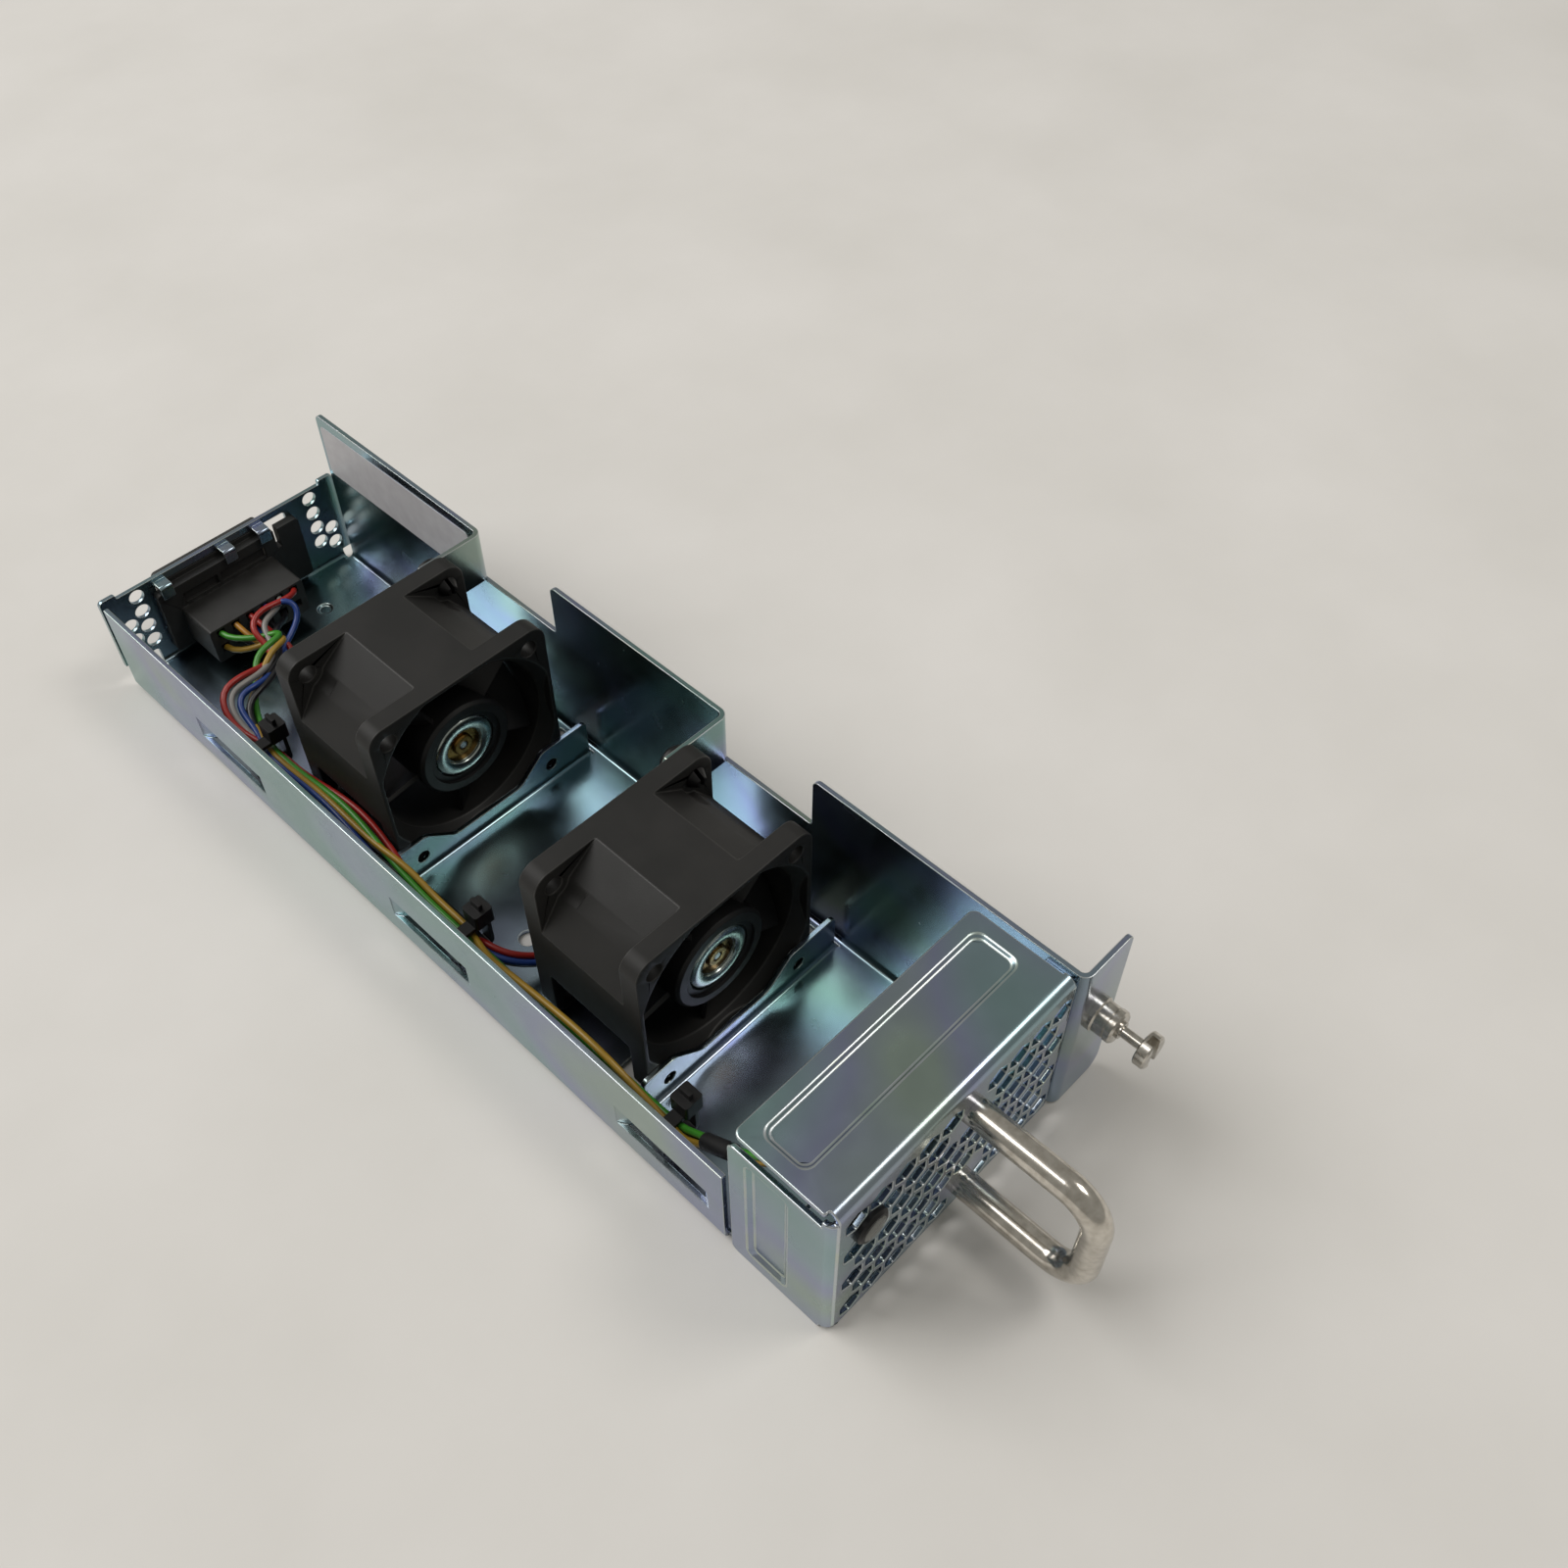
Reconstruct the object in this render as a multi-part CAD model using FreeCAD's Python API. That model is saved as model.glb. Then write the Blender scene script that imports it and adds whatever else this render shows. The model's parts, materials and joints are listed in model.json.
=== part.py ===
import FreeCAD, Part
import math
import os

# Switch fan tray: a folded sheet tray with two 40 mm fans, a hexagon grille front, a pull handle,
# a captive screw in a side ear, a status light and a blind-mate plug at the rear.
# Millimetres. Origin at the middle of the floor's underside, +Y from the grille to the plug, +Z up.

V = FreeCAD.Vector

# Sheet metal
sheet = 1.0
bend_radius = 1.0
tray_length = 202.0
tray_width = 57.0
left_wall_height = 22.5
right_wall_height = 28.0
tab_height = 40.2
tab_corner = 1.5
tab_past_fan = 7.2
rear_wall_height = 22.0
rear_corner_width = 3.8
rear_corner_rise = 1.0
rear_seam = 1.5
rear_relief = 7.8
rear_relief_height = 5.0
front_seam = 1.5
fold_relief = 2.2
joggle_gap = 0.5
bend_relief = 0.6
window_slit = 0.3
fit_gap = 0.1

# Front panel
panel_height = 41.0
top_plate_depth = 20.2
top_plate_inset = 0.2
top_plate_right_gap = 1.7
left_flange_depth = 21.2
left_flange_height = 36.7
corner_height = 38.5
right_flange_depth = 6.8
lap_depth = 15.0
corner_relief = 1.2
panel_corner = 1.5
top_press_depth = 0.6
top_press_ramp = 0.6
top_press_inset = 2.9
top_press_front = 8.2
top_press_rear = 17.3
flange_press_depth = 0.9
flange_press_ramp = 1.0
flange_press_front = 9.0
flange_press_rear = 17.6
flange_press_low = 3.3
flange_press_high = 34.5

# Hexagon grille
hexagon_width = 4.5
hexagon_height = 5.2
hexagon_pitch = 5.28
hexagon_row_pitch = 5.04
hexagon_first_x = 5.0
hexagon_first_z = 4.26
grille_top_margin = 3.6
grille_side_margin = 1.2

# Pull handle
rod_diameter = 5.0
handle_x = 31.4
handle_low = 7.6
handle_spacing = 24.0
handle_reach = 24.0
handle_bend = 6.5
handle_screw_diameter = 3.0
handle_screw_length = 7.0
screw_head_diameter = 5.6
screw_head_height = 1.9
screw_clearance = 0.15
thread_clearance = 0.02

# Ear and captive screw
ear_width = 11.5
ear_corner = 3.5
ear_top_corner = 1.5
ear_foot = 0.3
screw_from_wall = 5.2
screw_height = 24.5
ferrule_diameter = 6.4
ferrule_neck = 5.6
ferrule_length = 5.4
ferrule_flange = 1.2
ferrule_boss = 3.2
ferrule_boss_height = 0.5
spring_chamber = 4.4
ferrule_lip = 0.6
retainer_thickness = 0.5
screw_shank = 2.0
screw_thread = 3.0
snap_ring = 4.0
snap_ring_thickness = 0.5
snap_ring_slot = 1.0
groove_depth = 0.3
knob_gap = 4.0
knob_diameter = 6.4
knob_height = 2.1
knob_slot_width = 1.8
knob_slot_depth = 1.5
running_gap = 0.05
spring_wire = 0.3
spring_coils = 2.5
spring_wire_sides = 6

# Fans
fan_size = 40.0
fan_depth = 28.0
fan_hole_spacing = 32.0
fan_hole = 3.5
fan_left_gap = 8.5
front_fan_setback = 49.5
fan_pitch = 68.0
fan_flange = 4.0
fan_corner = 3.5
fan_bore = 36.8
inlet_flare = 41.0
inlet_depth = 3.0
inlet_rim = 0.9
body_flat = 13.0
body_corner_low = 12.6
body_corner_high = 15.6
screw_pocket = 6.4
screw_pocket_length = 4.5
motor_base = 22.0
motor_base_thickness = 2.4
strut_count = 4
strut_width = 2.2
bearing_outer = 6.0
bearing_width = 2.5
bearing_tube_wall = 0.7
bearing_shoulder = 0.4
bearing_tube_front = 6.8
fan_shaft = 2.0
shaft_front = 3.0
hub_diameter = 20.6
hub_front = 2.0
hub_wall = 1.1
hub_rear_gap = 4.0
hub_recess = 16.0
hub_recess_depth = 0.6
hub_opening = 13.6
yoke_wall = 0.8
yoke_rear_gap = 7.0
magnet_thickness = 0.8
magnet_front = 8.0
magnet_rear_gap = 9.0
boss_hole = 7.6
boss_head = 4.4
boss_flange = 9.4
air_gap = 0.3
stator_front = 9.6
stator_rear_gap = 11.6
pole_count = 4
pole_width = 1.8
pole_shoe = 1.0
stator_ring = 0.8
coil_thickness = 0.7
board_thickness = 1.0
blade_count = 5
blade_sweep = 56.0
blade_front = 4.2
blade_rear_gap = 6.2
blade_root_thickness = 1.1
blade_tip_thickness = 0.7
blade_curve = 1.35
blade_tip_gap = 0.4

# Fan brackets lanced out of the floor
bracket_left = 21.7
bracket_right = 25.7
bracket_edge = 4.7
bracket_dip = 4.6
bracket_dip_half = 8.1
bracket_slope = 6.2
bracket_hole = 2.7
bracket_fillet = 3.0

# Return flanges and push rivets
return_flange_low = 28.4
return_flange_edge = 4.4
return_flange_neck = 6.0
return_flange_chin = 2.4
return_flange_trim = 2.5
rivet_head = 6.0
rivet_head_height = 1.6
rivet_shank = 3.3
rivet_barb = 4.2
rivet_barb_length = 1.8
rivet_slit = 0.8

# Floor details
floor_hole = 3.5
floor_hole_x = 15.6
floor_hole_y = 90.4
dimple_depth = 0.4
dimple_x = 41.1
dimple_from_rear = 12.5

# Tie bridges pressed inward from the left wall
bridge_low = 6.7
bridge_high = 12.3
bridge_push = 2.2
bridge_length = 22.0
bridge_ramp = 3.8
bridge_bend = 1.5
bridge_places = [37.2, 97.7, 160.3]

# Rear wall holes and plug opening
vent_hole = 3.2
vent_pitch = 4.05
vent_low = 7.75
vent_left_edge = 4.3
vent_right_edge = 3.4
vent_step = 3.4
vent_inner_rows = [0, 1, 2, 3]
vent_left_rows = [0.5, 1.5]
vent_right_rows = [-0.5, 0.5]
cutout_left = 12.0
cutout_right = 43.8
cutout_low = 4.0
cutout_high = 20.3
hook_width = 2.8
hook_thickness = 0.8
hook_low = 17.9
hook_places = [13.2, 28.4, 36.9]

# Rear plug
plug_flange_left = 10.9
plug_flange_right = 45.5
plug_flange_low = 3.0
plug_flange_high = 18.9
plug_flange_thickness = 2.0
plug_slot = 39.2
plug_slot_width = 1.0
plug_slot_low = 14.2
plug_body_left = 14.6
plug_body_right = 37.5
plug_body_low = 4.2
plug_body_high = 13.0
plug_body_depth = 12.5
plug_window_low = 13.4
plug_window_high = 16.3
plug_window_depth = 1.4
plug_windows = [[16.3, 24.4], [25.2, 36.2]]
plug_nose_margin = 1.2
plug_nose_gap = 0.2
plug_nose_length = 3.0
plug_nose_wall = 1.4
plug_cavity_depth = 5.0
contact_columns = 6
contact_rows = 2
contact_size = 0.9
contact_length = 5.5
contact_pitch = 3.6
contact_row_gap = 4.0
wire_entry = 1.8
wire_entry_depth = 3.0

# Status light
light_x = 7.9
light_z = 29.3
holder_rim = 6.6
holder_rim_height = 1.2
holder_neck = 4.8
holder_length = 8.0
lens_diameter = 3.4
lens_stand = 0.9
light_base = 3.8

# Cable ties
tie_thickness = 0.8
tie_width = 2.5
tie_head = 4.0
tie_head_height = 3.6
tie_bundle_room = 5.4
tie_head_overhang = 1.5
tie_places = [39.2, 92.5, 155.2]
tie_play = 0.15
tie_tail = 2.2

# Wiring, each route a list of points chosen by hand, from the left wall, the grille and the floor
bundle_diameter = 3.6
lamp_lead_diameter = 2.2
fan_lead_diameter = 2.4
sleeve_wall = 0.4
sleeve_start = 7.6
sleeve_length = 8.0

# Derived places
left_x = -tray_width / 2
right_x = tray_width / 2
front_y = -tray_length / 2
rear_y = tray_length / 2
rear_inner_y = rear_y - sheet
wall_end_y = rear_inner_y - rear_seam
outer_bend = bend_radius + sheet
panel_right_x = right_x - sheet
fan_x = left_x + fan_left_gap + fan_size / 2
fan_z = sheet + fan_size / 2
fan_fronts = [front_y + front_fan_setback, front_y + front_fan_setback + fan_pitch]
fan_names = ["front_fan", "rear_fan"]
hole_offset = fan_hole_spacing / 2
screw_x = right_x + screw_from_wall
ear_front_y = front_y - sheet
pins_x = left_x + handle_x
light = V(left_x + light_x, front_y, light_z)


def on_floor(z):
    return lambda u, v: V(u, v, z)


def facing(y):
    return lambda u, v: V(u, y, v)


def on_side(x):
    return lambda u, v: V(x, u, v)


# A closed wire through (u, v, corner radius) points, with each rounded corner a true arc
def rounded_wire(corners, place):
    count = len(corners)
    spans = []
    for index in range(count):
        u, v, radius = corners[index]
        here = V(u, v, 0)
        back = V(corners[index - 1][0] - u, corners[index - 1][1] - v, 0)
        ahead = V(corners[(index + 1) % count][0] - u, corners[(index + 1) % count][1] - v, 0)
        back.normalize()
        ahead.normalize()
        if radius <= 0:
            spans.append((here, None, here))
            continue
        half = back.getAngle(ahead) / 2
        reach = radius / math.tan(half)
        inward = (back + ahead).normalize()
        middle = here + inward * (radius / math.sin(half) - radius)
        spans.append((here + back * reach, middle, here + ahead * reach))
    edges = []
    for index in range(count):
        start, middle, end = spans[index]
        if middle is not None:
            edges.append(Part.Arc(place(start.x, start.y), place(middle.x, middle.y),
                                  place(end.x, end.y)).toShape())
        following = spans[(index + 1) % count][0]
        if (following - end).Length > 1e-6:
            edges.append(Part.makeLine(place(end.x, end.y), place(following.x, following.y)))
    return Part.Wire(edges)


def plate(corners, place, direction):
    return Part.Face(rounded_wire(corners, place)).extrude(direction)


def rectangle(low_u, low_v, high_u, high_v, radius=0.0):
    return [(low_u, low_v, radius), (high_u, low_v, radius),
            (high_u, high_v, radius), (low_u, high_v, radius)]


def block(low, high):
    return Part.makeBox(high[0] - low[0], high[1] - low[1], high[2] - low[2], V(*low))


def rod_y(radius, x, z, low_y, high_y):
    return Part.makeCylinder(radius, high_y - low_y, V(x, low_y, z), V(0, 1, 0))


# A solid of revolution about the Y axis through x and z, from (radius, y) points
def turned(profile, x=0.0, y=0.0, z=0.0):
    points = [V(radius, along, 0) for radius, along in profile]
    face = Part.Face(Part.makePolygon(points + points[:1]))
    solid = face.revolve(V(0, 0, 0), V(0, 1, 0), 360)
    solid.translate(V(x, y, z))
    return solid


def tube(outer, inner, x, z, low_y, high_y):
    return turned([(inner, low_y), (outer, low_y), (outer, high_y), (inner, high_y)], x, 0, z)


def joined(shapes):
    whole = shapes[0].fuse(shapes[1:])
    return whole.removeSplitter()


# A pressed pad: a rounded rectangle that narrows by the ramp over its depth
def pressed_pad(low_u, low_v, high_u, high_v, radius, place_at, level, depth, ramp):
    outer = rounded_wire(rectangle(low_u, low_v, high_u, high_v, radius), place_at(level))
    inner_corners = rectangle(low_u + ramp, low_v + ramp, high_u - ramp, high_v - ramp, radius - ramp / 2)
    inner = rounded_wire(inner_corners, place_at(level + depth))
    return Part.makeLoft([outer, inner], True, True)


# Tray floor with its left and right walls, the right wall cut down between three tabs
def tray_channel():
    front = front_y + left_flange_depth + front_seam
    floor_front = front_y + fold_relief
    low_wall = 2 * outer_bend
    left = plate([(left_x, left_wall_height, 0), (left_x, 0, outer_bend), (left_x + low_wall, 0, 0),
                  (left_x + low_wall, sheet, 0), (left_x + sheet, sheet, bend_radius),
                  (left_x + sheet, left_wall_height, 0)],
                 facing(front), V(0, wall_end_y - front, 0))
    right = plate([(right_x, low_wall, 0), (right_x, 0, outer_bend), (right_x - low_wall, 0, 0),
                   (right_x - low_wall, sheet, 0), (right_x - sheet, sheet, bend_radius),
                   (right_x - sheet, low_wall, 0)],
                  facing(floor_front), V(0, wall_end_y - floor_front, 0))
    floor = block((left_x + outer_bend, front, 0), (right_x - outer_bend, wall_end_y, sheet))
    return joined([left, right, floor, floor_nose(floor_front, front), right_wall(floor_front)])


# The floor's front end: it steps up by one sheet over the front panel's lap
def floor_nose(floor_front, front):
    step_front = front_y + lap_depth + joggle_gap
    step_rear = step_front + sheet
    slope = sheet * math.tan(math.radians(22.5))
    nose_left = left_x + sheet + fit_gap
    nose_right = right_x - outer_bend
    nose = plate([(floor_front, sheet, 0), (step_front, sheet, 0), (step_rear, 0, 0), (front, 0, 0),
                  (front, sheet, 0), (step_rear + slope, sheet, 0), (step_front + slope, 2 * sheet, 0),
                  (floor_front, 2 * sheet, 0)],
                 on_side(nose_left), V(nose_right - nose_left, 0, 0))
    slit = block((lap_right(), floor_front - 1, sheet), (nose_right + 1, step_rear + slope, 2 * sheet + 1))
    return nose.cut([slit])


# Right edge of the front panel's lap, beside the tray's own bend
def lap_right():
    return right_x - 2 * outer_bend - fit_gap


def right_wall(wall_front):
    tab_starts = [fan_front + fan_depth + outer_bend for fan_front in fan_fronts]
    tab_ends = [fan_front + tab_past_fan for fan_front in fan_fronts]
    outline = [(wall_front, outer_bend, 0), (wall_front, tab_height, 0),
               (tab_ends[0], tab_height, tab_corner), (tab_ends[0], right_wall_height, 0.8),
               (tab_starts[0], right_wall_height, 0), (tab_starts[0], tab_height, 0),
               (tab_ends[1], tab_height, tab_corner), (tab_ends[1], right_wall_height, 0.8),
               (tab_starts[1], right_wall_height, 0), (tab_starts[1], tab_height, 0),
               (wall_end_y, tab_height, tab_corner), (wall_end_y, outer_bend, 0)]
    return plate(outline, on_side(right_x - sheet), V(sheet, 0, 0))


# Flange bent inward from the front end of a tab, against the fan's rear face
def return_flange(fan_rear):
    inner_x = right_x - sheet
    tip_x = fan_x + hole_offset - return_flange_edge
    hole_z = fan_z + hole_offset
    fold = plate([(tip_x, fan_rear, 0), (right_x, fan_rear, outer_bend), (right_x, fan_rear + outer_bend, 0),
                  (inner_x, fan_rear + outer_bend, 0), (inner_x, fan_rear + sheet, bend_radius),
                  (tip_x, fan_rear + sheet, 0)],
                 on_floor(return_flange_low), V(0, 0, tab_height - return_flange_low))
    neck_x = inner_x - return_flange_neck
    slope = hole_z - return_flange_edge
    chin = slope + return_flange_chin
    waste = plate([(tip_x - 1, return_flange_low - 1, 0), (neck_x, return_flange_low - 1, 0),
                   (neck_x, return_flange_low, 1.0), (tip_x + return_flange_chin / 2, slope, 2.0),
                   (tip_x, chin, 0), (tip_x - 1, chin, 0)],
                  facing(fan_rear - 1), V(0, sheet + 2, 0))
    trim_x = tip_x + return_flange_trim * 0.8
    trim_z = tab_height - return_flange_trim
    top_corner = plate([(tip_x - 1, tab_height + 1, 0), (tip_x - 1, trim_z, 0), (tip_x, trim_z, 0),
                        (trim_x, tab_height, 0), (trim_x, tab_height + 1, 0)],
                       facing(fan_rear - 1), V(0, sheet + 2, 0))
    hole = rod_y(fan_hole / 2, fan_x + hole_offset, hole_z, fan_rear - 1, fan_rear + sheet + 1)
    return fold.cut([waste, top_corner, hole])


def bracket_outline(base):
    hole_z = fan_z - hole_offset
    top = hole_z + bracket_edge - sheet
    dip = bracket_dip - sheet
    return [(fan_x - bracket_left, base, 0), (fan_x - bracket_left, base + top, 1.2),
            (fan_x - bracket_dip_half - bracket_slope, base + top, bracket_fillet),
            (fan_x - bracket_dip_half, base + dip, bracket_fillet),
            (fan_x + bracket_dip_half, base + dip, bracket_fillet),
            (fan_x + bracket_dip_half + bracket_slope, base + top, bracket_fillet),
            (fan_x + bracket_right, base + top, 1.2), (fan_x + bracket_right, base, 0)]


# Bracket lanced up from the floor, with its rear face against the fan's front face
def fan_bracket(fan_front):
    low = sheet + bend_radius
    upright = plate(bracket_outline(sheet), facing(fan_front - sheet), V(0, sheet, 0))
    upright = upright.cut(block((left_x, fan_front - sheet - 1, 0), (right_x, fan_front + 1, low)))
    fold_front = fan_front - outer_bend
    fold = plate([(fold_front - 0.5, 0, 0), (fan_front, 0, outer_bend), (fan_front, low, 0),
                  (fan_front - sheet, low, 0), (fan_front - sheet, sheet, bend_radius),
                  (fold_front - 0.5, sheet, 0)],
                 on_side(fan_x - bracket_left), V(bracket_left + bracket_right, 0, 0))
    holes = []
    for side in (-1, 1):
        holes.append(rod_y(bracket_hole / 2, fan_x + side * hole_offset, fan_z - hole_offset,
                           fan_front - sheet - 1, fan_front + 1))
    return joined([upright, fold]).cut(holes)


# The window that the bracket leaves in the floor, the bracket's own outline laid flat
def bracket_window(fan_front):
    fold_front = fan_front - outer_bend
    flat = plate(bracket_outline(fan_front), on_floor(-1), V(0, 0, sheet + 2))
    root = block((fan_x - bracket_left - window_slit, fold_front, -1),
                 (fan_x + bracket_right + window_slit, fan_front, sheet + 1))
    return [flat, root]


# Wall strip between two slits, pushed inward so that a cable tie can pass behind it
def tie_bridge(centre_y):
    half = bridge_length / 2
    inner = half - bridge_ramp
    outer_x = left_x + bridge_push
    skin = inner + 0.3 * sheet
    strip = plate([(left_x, centre_y - half, 0), (outer_x, centre_y - inner, bridge_bend),
                   (outer_x, centre_y + inner, bridge_bend), (left_x, centre_y + half, 0),
                   (left_x + sheet, centre_y + half, 0), (outer_x + sheet, centre_y + skin, bridge_bend),
                   (outer_x + sheet, centre_y - skin, bridge_bend), (left_x + sheet, centre_y - half, 0)],
                  on_floor(bridge_low), V(0, 0, bridge_high - bridge_low))
    return strip


def bridge_window(centre_y):
    half = bridge_length / 2
    return block((left_x - 1, centre_y - half, bridge_low), (left_x + sheet, centre_y + half, bridge_high))


# Rear wall folded up from the floor, standing clear of the side walls
def rear_wall():
    fold_left = left_x + rear_relief
    fold_right = right_x - fold_relief
    fold_top = outer_bend + bend_relief
    fold_front = wall_end_y - outer_bend
    fold = plate([(fold_front, 0, 0), (rear_y, 0, outer_bend), (rear_y, fold_top, 0),
                  (rear_inner_y, fold_top, 0), (rear_inner_y, sheet, bend_radius), (fold_front, sheet, 0)],
                 on_side(fold_left), V(fold_right - fold_left, 0, 0))
    top = rear_wall_height
    corner_top = top + rear_corner_rise
    outline = [(left_x, rear_relief_height, 0), (left_x, corner_top, 1.0),
               (left_x + rear_corner_width, corner_top, 0.5),
               (left_x + rear_corner_width, top, 0), (right_x - rear_corner_width, top, 0),
               (right_x - rear_corner_width, corner_top, 0.5), (right_x, corner_top, 1.0),
               (right_x, fold_top, 0), (fold_left, fold_top, 0), (fold_left, rear_relief_height, 0.8)]
    upright = plate(outline, facing(rear_inner_y), V(0, sheet, 0))
    return joined([fold, upright]).cut(rear_wall_holes())


def rear_wall_holes():
    tools = []
    for outer_x, inward, outer_rows in ((left_x + vent_left_edge, vent_step, vent_left_rows),
                                        (right_x - vent_right_edge, -vent_step, vent_right_rows)):
        for x, rows in ((outer_x, outer_rows), (outer_x + inward, vent_inner_rows)):
            for row in rows:
                z = vent_low + row * vent_pitch
                tools.append(rod_y(vent_hole / 2, x, z, rear_inner_y - 1, rear_y + 1))
    tools.append(plate(rectangle(left_x + cutout_left, cutout_low, left_x + cutout_right, cutout_high, 0.8),
                       facing(rear_inner_y - 1), V(0, sheet + 2, 0)))
    return tools


# Hook bent inward over the plug's flange from the strip above the opening
def plug_hook(place):
    centre = left_x + place
    drop_rear = rear_inner_y - plug_flange_thickness - fit_gap
    drop_front = drop_rear - hook_thickness
    return plate([(rear_inner_y + 0.2, cutout_high, 0), (drop_rear, cutout_high, 0), (drop_rear, hook_low, 0),
                  (drop_front, hook_low, 0), (drop_front, cutout_high + hook_thickness, hook_thickness),
                  (rear_inner_y + 0.2, cutout_high + hook_thickness, 0)],
                 on_side(centre - hook_width / 2), V(hook_width, 0, 0))


# Ear: the right wall runs forward past the grille and turns outward
def mounting_ear():
    wall_rear = front_y + fold_relief + 1.0
    ear_x = right_x + ear_width
    fold = plate([(right_x - sheet, wall_rear, 0), (right_x - sheet, ear_front_y, outer_bend),
                  (ear_x, ear_front_y, 0), (ear_x, front_y, 0), (right_x, front_y, bend_radius),
                  (right_x, wall_rear, 0)],
                 on_floor(ear_foot), V(0, 0, tab_height - ear_foot))
    window = plate([(right_x - 2 * sheet, ear_foot - 1, 0), (ear_x, ear_foot, ear_corner),
                    (ear_x, tab_height, ear_top_corner), (right_x - 2 * sheet, tab_height, 0)],
                   facing(ear_front_y - 1), V(0, wall_rear - ear_front_y + 2, 0))
    slot = block((right_x - outer_bend - 1, front_y + fold_relief, -1),
                 (right_x + 1, front_y + fold_relief + 2, outer_bend + bend_relief))
    hole = rod_y(ferrule_neck / 2, screw_x, screw_height, ear_front_y - 1, front_y + 1)
    return fold.common(window).cut([slot, hole])


def tray_chassis():
    body = tray_channel()
    cuts = []
    adds = [rear_wall(), mounting_ear()]
    for fan_front in fan_fronts:
        cuts += bracket_window(fan_front)
        adds.append(fan_bracket(fan_front))
        adds.append(return_flange(fan_front + fan_depth))
    for place in bridge_places:
        cuts.append(bridge_window(front_y + place))
        adds.append(tie_bridge(front_y + place))
    for place in hook_places:
        adds.append(plug_hook(place))
    cuts.append(block((right_x - outer_bend - 0.9, front_y + fold_relief - 1, -1),
                      (right_x + 1, front_y + fold_relief + 1, outer_bend + bend_relief)))
    hole_foot = V(left_x + floor_hole_x, front_y + floor_hole_y, -1)
    cuts.append(Part.makeCylinder(floor_hole / 2, sheet + 2, hole_foot))
    dimple = V(left_x + dimple_x, rear_y - dimple_from_rear, sheet - dimple_depth)
    cuts.append(Part.makeCone(floor_hole / 2 - 0.5, floor_hole / 2, dimple_depth, dimple))
    return joined([body.cut(cuts)] + adds)


def hexagon(x, z):
    half = hexagon_width / 2
    point = hexagon_height / 2
    shoulder = point / 2
    corners = [(x, z + point, 0), (x + half, z + shoulder, 0), (x + half, z - shoulder, 0),
               (x, z - point, 0), (x - half, z - shoulder, 0), (x - half, z + shoulder, 0)]
    return plate(corners, facing(front_y - 1), V(0, sheet + 2, 0))


# Hexagon centres, row by row, without those that the handle legs and the status light take
def grille_centres():
    centres = []
    clear = rod_diameter / 2 + hexagon_width / 2
    row = 0
    z = hexagon_first_z
    while z + hexagon_height / 2 < panel_height - grille_top_margin:
        x = left_x + hexagon_first_x + (row % 2) * hexagon_pitch / 2
        while x + hexagon_width / 2 < panel_right_x - grille_side_margin:
            free = math.hypot(x - light.x, z - light.z) > hexagon_pitch / 2
            for leg_z in (handle_low, handle_low + handle_spacing):
                if math.hypot(x - pins_x, z - leg_z) < clear:
                    free = False
            if free:
                centres.append((x, z))
            x += hexagon_pitch
        row += 1
        z += hexagon_row_pitch
    return centres


# Front panel: grille face, top plate, left and right flanges and a lap under the joggled floor
def front_panel():
    inner_y = front_y + sheet
    tight = 1.25 * sheet
    bend_end = front_y + outer_bend + 0.4
    wrap = plate([(left_x, bend_end, 0), (left_x, front_y, outer_bend), (panel_right_x, front_y, tight),
                  (panel_right_x, front_y + right_flange_depth, 0),
                  (panel_right_x - sheet, front_y + right_flange_depth, 0),
                  (panel_right_x - sheet, inner_y, tight - sheet), (left_x + sheet, inner_y, bend_radius),
                  (left_x + sheet, bend_end, 0)],
                 on_floor(corner_relief), V(0, 0, corner_height - corner_relief))
    flange = plate([(front_y + outer_bend, 0, 0.5), (front_y + left_flange_depth, 0, panel_corner),
                    (front_y + left_flange_depth, left_flange_height, panel_corner),
                    (front_y + outer_bend, left_flange_height, 0)],
                   on_side(left_x), V(sheet, 0, 0))
    fold_left = left_x + corner_relief
    fold_right = panel_right_x - corner_relief
    channel = plate([(bend_end, panel_height, 0), (front_y, panel_height, outer_bend),
                     (front_y, 0, outer_bend), (front_y + lap_depth, 0, 0), (front_y + lap_depth, sheet, 0),
                     (inner_y, sheet, bend_radius), (inner_y, panel_height - sheet, bend_radius),
                     (bend_end, panel_height - sheet, 0)],
                    on_side(fold_left), V(fold_right - fold_left, 0, 0))
    beside_bend = block((lap_right(), front_y + outer_bend, -1),
                        (right_x, front_y + lap_depth + 1, outer_bend + fit_gap))
    top = plate([(left_x + top_plate_inset, front_y + outer_bend, 0.5),
                 (panel_right_x - top_plate_right_gap, front_y + outer_bend, 0.5),
                 (panel_right_x - top_plate_right_gap, front_y + top_plate_depth, panel_corner),
                 (left_x + top_plate_inset, front_y + top_plate_depth, panel_corner)],
                on_floor(panel_height - sheet), V(0, 0, sheet))
    body = joined([wrap, flange, channel, top]).cut([beside_bend])
    return pressed(body).cut(panel_holes())


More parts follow.
